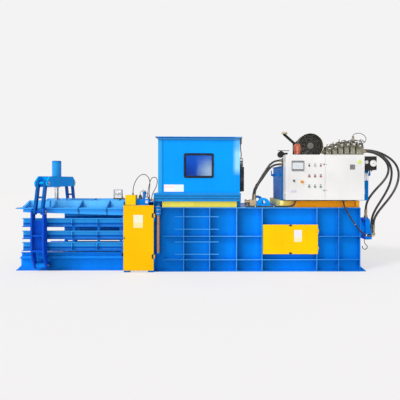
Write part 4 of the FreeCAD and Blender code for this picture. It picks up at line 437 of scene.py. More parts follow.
slotMaterials = {
    "blue_paint": bodyBlue, "hopper_blue": hopperBlue, "yellow_paint": guardYellow,
    "pale_yellow_paint": barYellow, "orange_paint": baseOrange, "white_paint": cabinetWhite,
    "dark_paint": machineBlack, "grey_paint": plainGrey, "chrome_rod": chromeRod, "steel": plainSteel,
    "plated_brass": platedBrass, "copper_coat": copperRoller, "hose_rubber": hoseBlack,
    "seal_rubber": sealRubber, "window_glass": windowSheet, "black_plastic": blackPlastic,
    "red_plastic": redPlastic, "green_plastic": greenPlastic, "beacon_orange": beaconOrange,
}
nodeMaterials = {
    "near_side_wall": wallBlue, "chamber_floor": rubbedBlue, "ram": rubbedBlue, "press_plate": plateBlue,
    "squeeze_yoke": yokeBlue, "squeeze_barrel": squeezeBlue, "near_side_bars": barBlue,
    "far_side_bars": barBlue, "chute_base": baseBlue, "guard_door": doorYellow, "guard_post": postYellow,
    "main_cylinder": tailLitBlue, "rear_end_frame": tailLitBlue, "near_lever": leverBlue, "far_lever": leverBlue,
    "near_links": linkBlue, "far_links": linkBlue, "hopper_sills": sillBlue, "rear_roof": roofBlue,
    "oil_tank": tankBlue, "valve_stack": valveGrey, "drive_motor": motorBlack, "tank_pipework": pipeBlack,
    "junction_box": sensorGrey, "wheel_arm": armMetal, "emergency_stop": orangePlastic,
    "touch_screen": greyPlastic, "window_seal": windowRubber,
}
for part in frame["record"]["subparts"]:
    dressed = frame["nodes"][part["node"]].data.materials
    dressed.clear()
    dressed.append(nodeMaterials.get(part["node"], slotMaterials[part["material_slot"]]))

# the slot of a dressed piece, where its material doesn't serve a slot of its own
pieceSlots = {material.name: slot for slot, material in slotMaterials.items()}
for slot, materials in {
        "blue_paint": (weldBlue, weldChute, weldTank, chuteBlue, tankBlue),
        "hopper_blue": (weldHopper, hopperPlate),
        "yellow_paint": (doorPlate, coverPlate, yellowPlastic, limePlate), "red_plastic": (orangePlastic,),
        "grey_paint": (palePlastic, greyPlastic, creamPlastic, hubGrey, screenFace),
        "dark_paint": (motorBlack,),
        "white_paint": (whitePlate, dialPlate, lilacPlate), "steel": (wornSteel,),
        "black_plastic": (trunkBlack, *wirePlastic.values())}.items():
    pieceSlots.update({material.name: slot for material in materials})


class Piece:
    # a visible piece under way: its methods add closed shapes, and leaving its block hangs it on its body
    def __init__(self, name, material, body="frame", slot=None):
        self.name, self.material, self.body = name, material, body
        self.slot = slot or pieceSlots[material.name]
        self.bm = bmesh.new()

    def __enter__(self):
        return self

    def __exit__(self, *problem):
        mesh = bpy.data.meshes.new(self.name)
        bmesh.ops.recalc_face_normals(self.bm, faces=self.bm.faces)
        self.bm.to_mesh(mesh)
        self.bm.free()
        mesh.shade_smooth()
        mesh.set_sharp_from_angle(angle=math.radians(38))
        mesh.materials.append(self.material)
        hang(self.name, mesh, self.body)

    def skin(self, rings, loop=False):
        # faces between rings of corners; the end rings are closed, or joined when the shape is a loop
        for lower, upper in zip(rings, rings[1:] + rings[:1] if loop else rings[1:]):
            for k, corner in enumerate(lower):
                following = (k + 1) % len(lower)
                self.bm.faces.new((corner, lower[following], upper[following], upper[k]))
        if not loop:
            self.bm.faces.new(rings[0][::-1])
            self.bm.faces.new(rings[-1])

    def lathe(self, origin, direction, profile, count=24, turn=0.0, loop=False):
        # a turned shape from (distance along, radius) pairs
        turned = Vector(up).rotation_difference(Vector(direction)).to_matrix().to_4x4()
        place = Matrix.Translation(origin) @ turned
        angles = [2 * math.pi * k / count + turn for k in range(count)]
        self.skin([[self.bm.verts.new(place @ Vector((radius * math.cos(a), radius * math.sin(a), step)))
                    for a in angles] for step, radius in profile], loop)

    def ring(self, origin, direction, outer, inner, depth, count=40):
        # a flat ring with chamfered rims
        edge = min(depth, outer - inner) * 0.25
        self.lathe(origin, direction, [(0, outer), (depth - edge, outer), (depth, outer - edge),
                                       (depth, inner + edge), (depth - edge, inner), (0, inner)], count, loop=True)

    def block(self, low, high, bevel=0.001, segments=2):
        # a box with rounded edges
        made = bmesh.ops.create_cube(self.bm, size=1.0)["verts"]
        low, high = Vector(low), Vector(high)
        size = high - low
        for vert in made:
            vert.co = (low + high) / 2 + vert.co * size
        edges = list(dict.fromkeys(edge for vert in made for edge in vert.link_edges))
        bmesh.ops.bevel(self.bm, geom=edges, offset=min(bevel, min(size) * 0.45), segments=segments,
                        affect="EDGES")

    def bolt(self, origin, direction, size):
        # hexagon head with a chamfered crown on a washer
        self.lathe(origin, direction, scaled(size, (0, 1.05), (0.12, 1.05), (0.16, 1)), 20)
        self.lathe(Vector(origin) + Vector(direction) * size * 0.16, direction,
                   scaled(size, (0, 0.86), (0.5, 0.86), (0.62, 0.7)), 6, dice.uniform(0, 1))

    def screw(self, origin, direction, size):
        # socket screw with a recess in its head
        head = scaled(size, (0, 1), (0.9, 1), (1, 0.9), (1, 0.5), (0.55, 0.45))
        self.lathe(origin, direction, head + [(size * 0.5, 0.0001)], 16)

    def tube(self, points, radius, count=8):
        # a round bar along points; radius may be one number or one for each point
        points = [Vector(p) for p in points]
        radii = radius if isinstance(radius, (list, tuple)) else [radius] * len(points)
        rings = []
        side = None
        for k, point in enumerate(points):
            ahead = (points[min(k + 1, len(points) - 1)] - points[max(k - 1, 0)]).normalized()
            side = side if side is not None else ahead.orthogonal().normalized()
            side = (side - ahead * side.dot(ahead)).normalized()
            other = ahead.cross(side)
            rings.append([self.bm.verts.new(point + (side * math.cos(a) + other * math.sin(a)) * radii[k])
                          for a in (2 * math.pi * j / count for j in range(count))])
        self.skin(rings)

    def weld(self, start, end, radius=0.005):
        # a bead whose width wanders a little
        start, end = Vector(start), Vector(end)
        count = max(3, int((end - start).length / 0.03))
        points = [start.lerp(end, k / count) for k in range(count + 1)]
        self.tube(points, [radius * dice.uniform(0.82, 1.15) for _ in points], 6)


def hang(name, data, body):
    piece = bpy.data.objects.new(name, data)
    bpy.context.scene.collection.objects.link(piece)
    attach(piece, body)
    return piece


def scaled(size, *profile):
    return [(step * size, radius * size) for step, radius in profile]


def circle(centre, radius, count, turn=0.0, facing=up):
    # places round a circle that lies level, or stands and faces the front or the back
    for k in range(count):
        angle = 2 * math.pi * k / count + turn
        other = far if facing == up else up
        yield Vector(centre) + radius * (math.cos(angle) * Vector(right) + math.sin(angle) * Vector(other))


def softLine(points, steps=6):
    # a smooth line through the points
    points = [Vector(p) for p in points]
    padded = [points[0]] + points + [points[-1]]
    line = []
    for a, b, c, d in zip(padded, padded[1:], padded[2:], padded[3:]):
        for t in (k / steps for k in range(steps)):
            line.append(0.5 * ((2 * b) + (c - a) * t + (2 * a - 5 * b + 4 * c - d) * t * t
                               + (3 * b - a - 3 * c + d) * t * t * t))
    return line + [points[-1]]


def routeCurve(name, points, facts, node):
    # a smooth round line through control points, in place of a node of the frame
    curve = bpy.data.curves.new(name, "CURVE")
    curve.dimensions = "3D"
    curve.bevel_depth = facts["diameter"] / 2
    curve.bevel_resolution = 5
    curve.use_fill_caps = True
    curve.resolution_u = 12
    spline = curve.splines.new("NURBS")
    spline.points.add(len(points) - 1)
    for knot, point in zip(spline.points, points):
        knot.co = (*point, 1)
    spline.order_u = 3
    spline.use_endpoint_u = True
    curve.materials.append(facts["material"])
    piece = hang(name, curve, facts["body"])
    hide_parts(node)
    return piece


print("camera")
view = {
    "place": (0.197, -7.067, 1.539),
    "turnDegrees": (89.739, -0.123, -0.834),
    "focalPixels": 385.2,
    "middlePixel": (220.1, 181.1),   # where the camera points, in the 400 x 400 frame
    "frameWidth": 400,
    "sensorWidth": 36.0,
}


def placeCamera():
    width = view["frameWidth"]
    data = bpy.data.cameras.new("camera")
    data.sensor_width = view["sensorWidth"]
    data.lens = view["sensorWidth"] * view["focalPixels"] / width
    data.shift_x = (width / 2 - view["middlePixel"][0]) / width
    data.shift_y = (view["middlePixel"][1] - width / 2) / width
    camera = bpy.data.objects.new("camera", data)
    camera.location = view["place"]
    camera.rotation_euler = [math.radians(angle) for angle in view["turnDegrees"]]
    bpy.context.scene.collection.objects.link(camera)
    bpy.context.scene.camera = camera


placeCamera()


def levelRoute(y, *places):
    # a route that keeps its distance from the front, from (x, z) places
    return tuple((x, y, z) for x, z in places)


print("hoses and cables")
pressureHoses = {
    "diameter": 0.040,
    "body": "frame",
    "material": hoseBlack,
    "lengths": (1.544, 1.861, 2.080),
    "routes": (
        ((2.880, -0.120, 2.050), (2.985, -0.120, 2.050), (3.105, -0.121, 2.020), (3.220, -0.121, 1.960),
         (3.315, -0.120, 1.870), (3.362, -0.118, 1.755), (3.345, -0.114, 1.630), (3.270, -0.107, 1.510),
         (3.165, -0.095, 1.395), (3.062, -0.082, 1.270), (2.994, -0.068, 1.155), (2.966, -0.060, 1.045),
         (2.966, -0.060, 0.940)),
        ((2.880, -0.055, 2.058), (3.010, -0.055, 2.058), (3.160, -0.055, 2.030), (3.300, -0.054, 1.955),
         (3.400, -0.052, 1.850), (3.445, -0.048, 1.730), (3.448, -0.042, 1.590), (3.415, -0.032, 1.440),
         (3.348, -0.018, 1.290), (3.262, -0.002, 1.140), (3.180, 0.012, 1.000), (3.125, 0.022, 0.872),
         (3.106, 0.025, 0.762), (3.106, 0.025, 0.655)),
        ((2.880, 0.015, 2.085), (3.040, 0.015, 2.085), (3.210, 0.020, 2.055), (3.365, 0.024, 1.990),
         (3.500, 0.022, 1.895), (3.585, 0.016, 1.775), (3.608, 0.006, 1.630), (3.575, -0.008, 1.475),
         (3.500, -0.025, 1.325), (3.400, -0.040, 1.190), (3.290, -0.052, 1.065), (3.190, -0.060, 0.945),
         (3.130, -0.064, 0.845), (3.106, -0.065, 0.748), (3.106, -0.065, 0.655)),
    ),
}
returnHoses = {
    "diameter": 0.034,
    "body": "frame",
    "material": hoseBlack,
    "lengths": (0.896, 0.842),
    "routes": (
        ((1.385, -0.350, 1.872), (1.265, -0.350, 1.872), (1.165, -0.362, 1.805), (1.085, -0.375, 1.690),
         (1.005, -0.386, 1.565), (0.930, -0.395, 1.440), (0.872, -0.405, 1.340), (0.872, -0.405, 1.230)),
        ((1.385, -0.350, 1.806), (1.258, -0.350, 1.806), (1.160, -0.366, 1.742), (1.075, -0.395, 1.625),
         (0.975, -0.428, 1.490), (0.915, -0.448, 1.395), (0.888, -0.455, 1.310), (0.888, -0.455, 1.230)),
    ),
}
tyingCables = {
    "diameter": 0.012,
    "body": "frame",
    "material": hoseBlack,
    "lengths": (0.885, 0.857),
    "routes": (
        levelRoute(-0.640, (-1.158, 1.277), (-1.158, 1.375), (-1.130, 1.480), (-1.078, 1.570),
                   (-1.016, 1.618), (-0.950, 1.618), (-0.900, 1.570), (-0.876, 1.495),
                   (-0.880, 1.400), (-0.893, 1.300), (-0.893, 1.205)),
        levelRoute(-0.585, (-0.925, 1.205), (-0.925, 1.290), (-0.912, 1.385), (-0.890, 1.480),
                   (-0.868, 1.545), (-0.832, 1.572), (-0.795, 1.572), (-0.768, 1.548), (-0.762, 1.505),
                   (-0.772, 1.440), (-0.800, 1.372), (-0.858, 1.275), (-0.858, 1.170)),
    ),
}
conduits = {
    "diameter": 0.025,
    "body": "frame",
    "material": sealRubber,
    "routes": (
        levelRoute(-0.630, (1.553, 1.200), (1.553, 1.150), (1.518, 1.104), (1.440, 1.0828), (0.740, 1.0828)),
        ((2.346, -0.680, 1.200), (2.346, -0.680, 1.130), (2.392, -0.680, 1.035), (2.455, -0.680, 0.925),
         (2.530, -0.680, 0.805), (2.612, -0.680, 0.700), (2.700, -0.684, 0.622), (2.795, -0.600, 0.585),
         (2.910, -0.470, 0.560), (2.962, -0.330, 0.560), (2.962, -0.170, 0.560)),
    ),
    "clipEvery": 0.28,
    "glandLength": 0.034,
}


def layCords(name, facts, node):
    for k, route in enumerate(facts["routes"]):
        piece = routeCurve(f"{name}_{k + 1}", route, facts, node)


def layConduits():
    # the two conduits with straps at even steps and a gland under the cabinet
    outside = conduits["diameter"] / 2
    strap = [(-0.008, outside + 0.001), (-0.007, outside + 0.003),
             (0.007, outside + 0.003), (0.008, outside + 0.001)]
    with Piece("conduit_clips", plainSteel) as clips, Piece("conduit_glands", blackPlastic) as glands:
        for k, route in enumerate(conduits["routes"]):
            routeCurve(f"conduit_{k + 1}", route, conduits, "conduits")
            line = softLine(route[2:], 8)
            travelled = 0.0
            for before, here in zip(line, line[1:]):
                travelled += (here - before).length
                if travelled > conduits["clipEvery"]:
                    travelled = 0.0
                    clips.lathe(here, (here - before).normalized(), strap, 16)
            length = conduits["glandLength"]
            glands.lathe(Vector(route[0]) - length * Vector(up), up,
                         [(0, 0.015), (0.012, 0.02), (0.022, 0.021), (length, 0.021)], 12)


layCords("pressure_hose", pressureHoses, "pressure_hoses")
layCords("return_hose", returnHoses, "return_hoses")
layCords("tying_cable", tyingCables, "tying_cables")
layConduits()


hoseEnds = {
    "pressureRadius": 0.0265,
    "returnRadius": 0.0225,
    "ferrule": 0.062,
    "grooves": 4,
    "overlap": 0.004,      # how far a ferrule reaches back past the hose's end
    "cableSleeve": [(0, 0.0143), (0.008, 0.0143), (0.009, 0.011), (0.026, 0.011), (0.045, 0.00682)],
    "tiePlaces": (0.32, 0.5, 0.72),   # where the pair of return hoses is tied, as shares of its length
    "tieHalfWidth": 0.009,
    "tieDepth": 0.021,
    "tieSlack": 0.003,
}


def routeEnds(facts):
    # both ends of each route, with the direction into it
    for route in facts["routes"]:
        for end, following in ((route[0], route[1]), (route[-1], route[-2])):
            yield Vector(end), (Vector(following) - Vector(end)).normalized()


def crimpProfile(radius, length):
    # pressed collar with grooves
    profile = [(0, radius * 0.8), (0.003, radius * 0.97)]
    for k in range(hoseEnds["grooves"]):
        start = length * (0.12 + 0.2 * k)
        profile += [(start, radius), (start + length * 0.07, radius * 0.93), (start + length * 0.13, radius)]
    return profile + [(length - 0.003, radius * 0.97), (length, radius * 0.8)]


def signedPower(base, exponent):
    return math.copysign(abs(base) ** exponent, base)


def tieHoses():
    upper, lower = [softLine(route, 10) for route in returnHoses["routes"]]
    half = hoseEnds["tieHalfWidth"]
    with Piece("return_hose_ties", sealRubber) as ties:
        for share in hoseEnds["tiePlaces"]:
            index = int(share * (len(upper) - 1))
            a, b = upper[index], lower[int(share * (len(lower) - 1))]
            ahead = (upper[index + 1] - a).normalized()
            reach = (b - a).length / 2 + returnHoses["diameter"] / 2 + hoseEnds["tieSlack"]
            across = (b - a).normalized()
            out = ahead.cross(across).normalized()
            loop = [(a + b) / 2 + across * signedPower(math.cos(angle), 0.6) * reach
                    + out * signedPower(math.sin(angle), 0.8) * hoseEnds["tieDepth"]
                    for angle in (2 * math.pi * k / 24 for k in range(24))]
            for shift in (-half, 0, half):
                ties.tube([p + ahead * shift for p in loop + loop[:1]], half * 0.55, 6)


def capHoses():
    with Piece("hose_collars", platedBrass) as collars:
        for facts, radius in ((pressureHoses, "pressureRadius"), (returnHoses, "returnRadius")):
            for end, direction in routeEnds(facts):
                collars.lathe(end - direction * hoseEnds["overlap"], direction,
                              crimpProfile(hoseEnds[radius], hoseEnds["ferrule"]), 28)
    with Piece("cable_sleeves", blackPlastic) as sleeves:
        for end, direction in routeEnds(tyingCables):
            sleeves.lathe(end, direction, hoseEnds["cableSleeve"], 12)
    tieHoses()


capHoses()


print("welded body")
walls = {
    "face": 0.57,
    "ribs": (-0.313, 0.120, 0.570, 0.995, 1.912, 2.278),
    "plateHalf": 0.006,
    "levels": (0.192, 0.204, 0.583, 0.595),
    "upright": (0.02, 1.05),            # low and high end of a rib's bead
    "lying": (-0.64, 2.62),
    "openingAt": 0.99,                  # where the near wall's upper rib stops at the service opening
    "edge": (-0.79, 2.62, 1.058),
}


def weldWalls():
    (low, high), (start, end) = walls["upright"], walls["lying"]
    for side, name in zip(sides, ("near", "far")):
        y = side * walls["face"]
        with Piece(f"{name}_wall_welds", weldBlue) as beads:
            for x, half in product(walls["ribs"], (-walls["plateHalf"], walls["plateHalf"])):
                beads.weld((x + half, y, low), (x + half, y, high))
            for z in walls["levels"]:
                stop = walls["openingAt"] if side < 0 and z > 0.5 else end
                beads.weld((start, y, z), (stop, y, z))
            first, last, z = walls["edge"]
            beads.weld((first, y, z), (last, y, z))


weldWalls()


tyingDetails = {
    "beamBolt": 0.013,
    "roofBolts": ((-1.25, -0.85), (-0.655, -0.61, 0.61, 0.655), 1.170),
    "flankBolts": ((-1.27, -1.23, -0.87, -0.83), (0.3, 0.6, 0.9)),
    "flankHeads": 2,       # heads at each place, one turned in the other
    "flank": 0.690,
    "drum": (-0.738, -0.645),
    "drumTop": 1.085,
    "drumBands": (0.97, 1.03),
    "rollerCollars": (0.318, 0.925),
    "rollerGrooves": [0.36 + 0.086 * k for k in range(7)],
    "doorPlate": ((-1.134, -0.7165, 0.738), (-0.980, -0.7138, 0.950)),
    "doorHinges": (0.174, 0.849),
    "doorFace": -0.7172,
    "hingePlate": (-0.836, -0.806),
    "hingePin": (-0.790, -0.703),
    "lock": (-1.283, 0.570),
}


def dressTyingFrame():
    with Piece("tying_frame_bolts", plainSteel) as bolts:
        xs, ys, top = tyingDetails["roofBolts"]
        for x, y in product(xs, ys):
            if x > -1.0 or y > 0:      # the guard post stands on the others
                bolts.bolt((x, y, top), up, tyingDetails["beamBolt"])
        for _, x, z in product(range(tyingDetails["flankHeads"]), *tyingDetails["flankBolts"]):
            bolts.bolt((x, tyingDetails["flank"], z), far, tyingDetails["beamBolt"] * 0.8)
    drum, top = tyingDetails["drum"], tyingDetails["drumTop"]
    with Piece("roller_drum_screws", plainSteel) as screws:
        for place in circle((*drum, top), 0.038, 6, 0.3):
            screws.screw(place, up, 0.007)
        screws.lathe((*drum, top), up, [(0, 0.024), (0.01, 0.023), (0.014, 0.016)])
        for z in tyingDetails["drumBands"]:
            screws.ring((*drum, z), up, 0.0535, 0.0515, 0.008)
    with Piece("roller_collars", wornSteel, "roller") as collars:
        for z in tyingDetails["rollerCollars"]:
            collars.ring((*drum, z), up, 0.033, 0.0285, 0.018, 36)
        for z in tyingDetails["rollerGrooves"]:
            collars.ring((*drum, z), up, 0.0296, 0.0285, 0.004, 36)
    with Piece("guard_door_plate", doorPlate, "door") as plate:
        plate.block(*tyingDetails["doorPlate"])
    y = tyingDetails["doorFace"]
    with Piece("guard_door_hinge_plates", blackPlastic, "door") as plates:
        start, end = tyingDetails["hingePlate"]
        for z in tyingDetails["doorHinges"]:
            plates.block((start, y, z + 0.055), (end, y + 0.0034, z + 0.127))
            for height in (0.07, 0.112):
                plates.screw(((start + end) / 2, y, z + height), near, 0.004)
    with Piece("guard_door_hinge_caps", blackPlastic) as caps:
        for z in tyingDetails["doorHinges"]:
            caps.lathe((*tyingDetails["hingePin"], z + 0.121), up,
                       [(0, 0.0085), (0.004, 0.008), (0.007, 0.004)], 16)
    with Piece("guard_door_lock", blackPlastic, "door") as lock:
        x, z = tyingDetails["lock"]
        lock.lathe((x, -0.714, z), near, [(0, 0.013), (0.003, 0.013), (0.005, 0.011)], 20)
        lock.block((x - 0.003, -0.7215, z - 0.0045), (x + 0.003, -0.7185, z + 0.0045))


dressTyingFrame()


wireGear = {
    "centre": (-0.975, -0.600),
    "top": 1.330,
    "blockTop": 1.205,
    "tieRod": 0.022,
    "blockScrews": ((-0.105, -0.045), (-0.105, 0.045), (0.078, -0.045), (0.078, 0.045)),
    "portHeights": (1.235, 1.302),
    "valveBox": ((-1.062, -0.655, 1.205), (-1.018, -0.585, 1.262)),
    "valveCoil": ((-1.056, -0.645, 1.262), (-1.024, -0.605, 1.280)),
    "tags": (((-0.948, -0.6625, 1.14), (-0.905, -0.6595, 1.185), 0.001),
             ((-0.958, -0.6485, 1.205), (-0.908, -0.618, 1.232), 0.004)),
    "leads": ((0.004, ((-1.04, -0.62, 1.28), (-1.04, -0.62, 1.32), (-1.01, -0.622, 1.345),
                       (-0.985, -0.624, 1.36), (-0.958, -0.626, 1.33), (-0.945, -0.63, 1.27),
                       (-0.94, -0.632, 1.232))),
              (0.0045, ((-0.927, -0.6, 1.302), (-0.905, -0.6, 1.302), (-0.893, -0.602, 1.285),
                        (-0.888, -0.61, 1.24), (-0.888, -0.61, 1.172)))),
    "sensor": ((-0.838, -0.684, 1.170), (-0.806, -0.640, 1.214)),
}


def dressWireGear():
    x, y = wireGear["centre"]
    top, low = wireGear["top"], wireGear["blockTop"]
    with Piece("wire_cylinder_fittings", plainSteel) as metal:
        metal.lathe((x, y, top + 0.002), up, [(0, 0.024), (0.008, 0.024), (0.012, 0.015)], 20)
        for dx, dy in product((-wireGear["tieRod"], wireGear["tieRod"]), repeat=2):
            metal.tube([(x + dx, y + dy, low), (x + dx, y + dy, top + 0.004)], 0.0035)
        for dx, dy in wireGear["blockScrews"]:
            metal.screw((x + dx, y + dy, low), up, 0.008)
        for z in wireGear["portHeights"]:
            metal.lathe((x + 0.026, y, z), right,
                        [(0, 0.009), (0.012, 0.009), (0.013, 0.012), (0.024, 0.012)], 6)
    with Piece("wire_valve", blackPlastic) as valve:
        valve.block(*wireGear["valveBox"], 0.003)
        valve.block(*wireGear["valveCoil"], 0.003)
    with Piece("wire_gear_tag", palePlastic) as tags:
        for tag in wireGear["tags"]:
            tags.block(*tag)
    with Piece("wire_gear_leads", wirePlastic["black"]) as leads:
        for radius, points in wireGear["leads"]:
            leads.tube(softLine(points), radius)
    with Piece("wire_sensor", copperRoller) as sensor:
        sensor.block(*wireGear["sensor"], 0.003)


dressWireGear()


print("exit chute and squeeze gear")
squeeze = {
    "x": -2.680,
    "pinReach": 0.117,      # from the gear's middle plane to a pin's end
    "pinRadius": 0.025,
    "keeperFace": 0.107,
    "keeper": (0.034, 0.020, 0.005),   # half length, height, thickness
    "keeperDrop": 0.041,
    "keeperBolt": (0.023, 0.031, 0.0065),   # beside the pin, below it, and size
    # name, body, y and z of each pair of pin ends
    "pins": (("yoke_near_pin", "yoke", -0.600, 1.470), ("yoke_far_pin", "yoke", 0.600, 1.470),
             ("near_lever_pin", "near_lever_body", -0.720, 1.000),
             ("far_lever_pin", "far_lever_body", 0.720, 1.000)),
    "leverFoot": (0.622, 0.105),
    "plateHinge": (-1.338, 0.370, 0.048, 1.120),
    "clevis": (0.073, 1.135),
    "smallPin": 0.022,
    "footBolts": ((-0.055, 0.055), (-0.104, 0.104), 1.468),
    "top": 1.8681,
    "portHeights": (1.645, 1.820),
    "bands": (1.468, 1.845),
    "gland": 1.386,
    "weldColumns": ((-0.430, -0.410, 0.410, 0.430), (-2.7615, -2.5985)),
    "weldHeights": (1.42, 1.565),
}


def capPin(piece, place, direction, radius):
    # chamfered end with a grease nipple
    piece.lathe(place, direction,
                [(-0.004, radius + 0.0012), (0, radius + 0.0012), (0.003, radius - 0.003)], 28)
    piece.lathe(Vector(place) + Vector(direction) * 0.003, direction,
                [(0, 0.006), (0.004, 0.006), (0.005, 0.0035), (0.010, 0.0035),
                 (0.012, 0.0045), (0.015, 0.002)], 8)


def pinPair(name, body, y, z):
    half, height, thick = squeeze["keeper"]
    beside, below, size = squeeze["keeperBolt"]
    with Piece(name, plainSteel, body) as pins:
        for side in sides:
            capPin(pins, (squeeze["x"] + side * squeeze["pinReach"], y, z), (side, 0, 0), squeeze["pinRadius"])
            face = squeeze["x"] + side * squeeze["keeperFace"]
            inner, outer = sorted((face, face + side * thick))
            low = z - squeeze["keeperDrop"]
            pins.block((inner, y - half, low), (outer, y + half, low + height))
            for dy in (-beside, beside):
                pins.bolt((face + side * thick, y + dy, z - below), (side, 0, 0), size)


def dressSqueezeGear():
    middle = squeeze["x"]
    for pair in squeeze["pins"]:
        pinPair(*pair)
    with Piece("frame_pin_ends", plainSteel) as ends:
        y, z = squeeze["leverFoot"]
        for flank, side in product(sides, sides):
            capPin(ends, (middle + side * squeeze["pinReach"], flank * y, z), (side, 0, 0),
                   squeeze["pinRadius"])
        x, y, reach, z = squeeze["plateHinge"]
        for flank, side in product(sides, sides):
            capPin(ends, (x, flank * y + side * reach, z), (0, side, 0), squeeze["smallPin"])
    with Piece("clevis_pin_ends", plainSteel, "press") as ends:
        reach, z = squeeze["clevis"]
        for side in sides:
            capPin(ends, (middle, side * reach, z), (0, side, 0), squeeze["smallPin"])
    with Piece("squeeze_cylinder_bolts", plainSteel, "yoke") as bolts:
        xs, ys, z = squeeze["footBolts"]
        for dx, y in product(xs, ys):
            bolts.bolt((middle + dx, y, z), up, 0.013)
        for place in circle((middle, 0, squeeze["top"]), 0.055, 8, 0.2):
            bolts.screw(place, up, 0.007)
        for z in squeeze["portHeights"]:
            bolts.lathe((middle, 0.103, z), far, [(0, 0.019), (0.014, 0.019), (0.016, 0.016)], 6)
            bolts.lathe((middle, 0.119, z), far, [(0, 0.012), (0.008, 0.012), (0.010, 0.009)], 12)
    with Piece("squeeze_barrel_bands", chuteBlue, "yoke") as bands:
        for z in squeeze["bands"]:
            bands.ring((middle, 0, z), up, 0.0815, 0.0785, 0.012, 56)
    with Piece("squeeze_rod_gland", plainSteel, "yoke") as gland:
        gland.ring((middle, 0, squeeze["gland"]), up, 0.056, 0.0365, 0.014)
    with Piece("yoke_welds", weldChute, "yoke") as beads:
        low, high = squeeze["weldHeights"]
        for y, x in product(*squeeze["weldColumns"]):
            beads.weld((x, y, low), (x, y, high))


dressSqueezeGear()


chuteDetails = {
    "plateBead": 0.0045,
    "bead": 0.004,
    "plateTop": 1.055,
    "plateEnds": (-3.10, -1.34),
    "spineSides": (0.362, 0.378),
    "gussets": (-2.085, -1.615, -2.530, -2.990),
    "gussetPlate": 0.014,
    "gussetReach": (0.378, 0.585),
    "lip": (-3.0, -1.335, 0.5715, 1.035),
    "barRibs": (-2.190, -1.770),
    "barRibPlate": 0.012,
    "barHinge": (-1.330, 0.5775),
    "barHingeCaps": ((0.905, up), (0.315, down)),
    "rail": ((-3.06, -1.31), (0.494, 0.506), (0.016, 0.199)),
    "railBolts": (-3.06, -2.2, -1.45),
    "wearStrips": (-0.45, -0.27, -0.09, 0.09, 0.27, 0.45),
    "floor": (-3.02, -1.31, 0.241, 0.245),
}


def weldPressPlate():
    top, r = chuteDetails["plateTop"], chuteDetails["plateBead"]
    start, end = chuteDetails["plateEnds"]
    inner, outer = chuteDetails["gussetReach"]
    first, last, lip, under = chuteDetails["lip"]
    with Piece("press_plate_welds", weldChute, "press") as beads:
        for side in sides:
            for y in chuteDetails["spineSides"]:
                beads.weld((start, side * y, top), (end, side * y, top), r)
            for x, plate in product(chuteDetails["gussets"], (0, chuteDetails["gussetPlate"])):
                beads.weld((x + plate, side * inner, top), (x + plate, side * outer, top), r)
            beads.weld((first, side * lip, under), (last, side * lip, under), r)


def weldSideBars():
    r, bars = chuteDetails["bead"], shadows["sideBars"]
    for side, body in zip(sides, ("near_bars", "far_bars")):
        with Piece(f"{body}_welds", weldChute, body) as beads:
            plates = (0, chuteDetails["barRibPlate"])
            for x, (low, high), plate in product(chuteDetails["barRibs"], bars, plates):
                beads.weld((x + plate, side * 0.561, low + 0.012), (x + plate, side * 0.561, high - 0.012), r)
            for low, high in bars:
                beads.weld((-1.350, side * 0.604, low + 0.004), (-1.350, side * 0.604, high - 0.004), r)


def dressChute():
    weldPressPlate()
    weldSideBars()
    with Piece("bar_hinge_caps", plainSteel) as caps:
        x, y = chuteDetails["barHinge"]
        for side, (z, way) in product(sides, chuteDetails["barHingeCaps"]):
            caps.lathe((x, side * y, z), way, [(0, 0.019), (0.004, 0.019), (0.007, 0.014)])
    with Piece("rail_welds_and_bolts", weldChute) as rails:
        (start, end), webs, heights = chuteDetails["rail"]
        for side in sides:
            for z, y in product(heights, webs):
                rails.weld((start, side * y, z), (end, side * y, z), chuteDetails["bead"])
            for x, dy in product(chuteDetails["railBolts"], (-0.045, 0.045)):
                if x > -3.0 or dy < 0:
                    rails.bolt((x + 0.03, side * (0.5 + dy), 0.015), up, 0.010)
    with Piece("channel_wear_strips", wornSteel) as strips:
        start, end, low, high = chuteDetails["floor"]
        for y in chuteDetails["wearStrips"]:
            strips.block((start, y - 0.03, low), (end, y + 0.03, high), 0.0012, 1)


dressChute()


wheelGear = {"pivot": (-1.515, -0.200, 1.280), "sensor": (-1.447, -0.172, 1.215)}


def dressWheel():
    x, y, z = wheelGear["pivot"]
    with Piece("wheel_axle_nuts", plainSteel, "wheel") as nuts:
        for side in sides:
            nuts.lathe((x, y + side * 0.036, z), (0, side, 0),
                       [(0, 0.012), (0.001, 0.017), (0.009, 0.017), (0.011, 0.013)], 6)
        for place in circle((x, y - 0.012, z), 0.034, 6, 0, near):
            nuts.screw(place, near, 0.004)
    with Piece("wheel_sensor", blackPlastic, "arm") as sensor:
        sensor.lathe(wheelGear["sensor"], far, [(0, 0.009), (0.05, 0.009), (0.052, 0.007)], 16)


dressWheel()


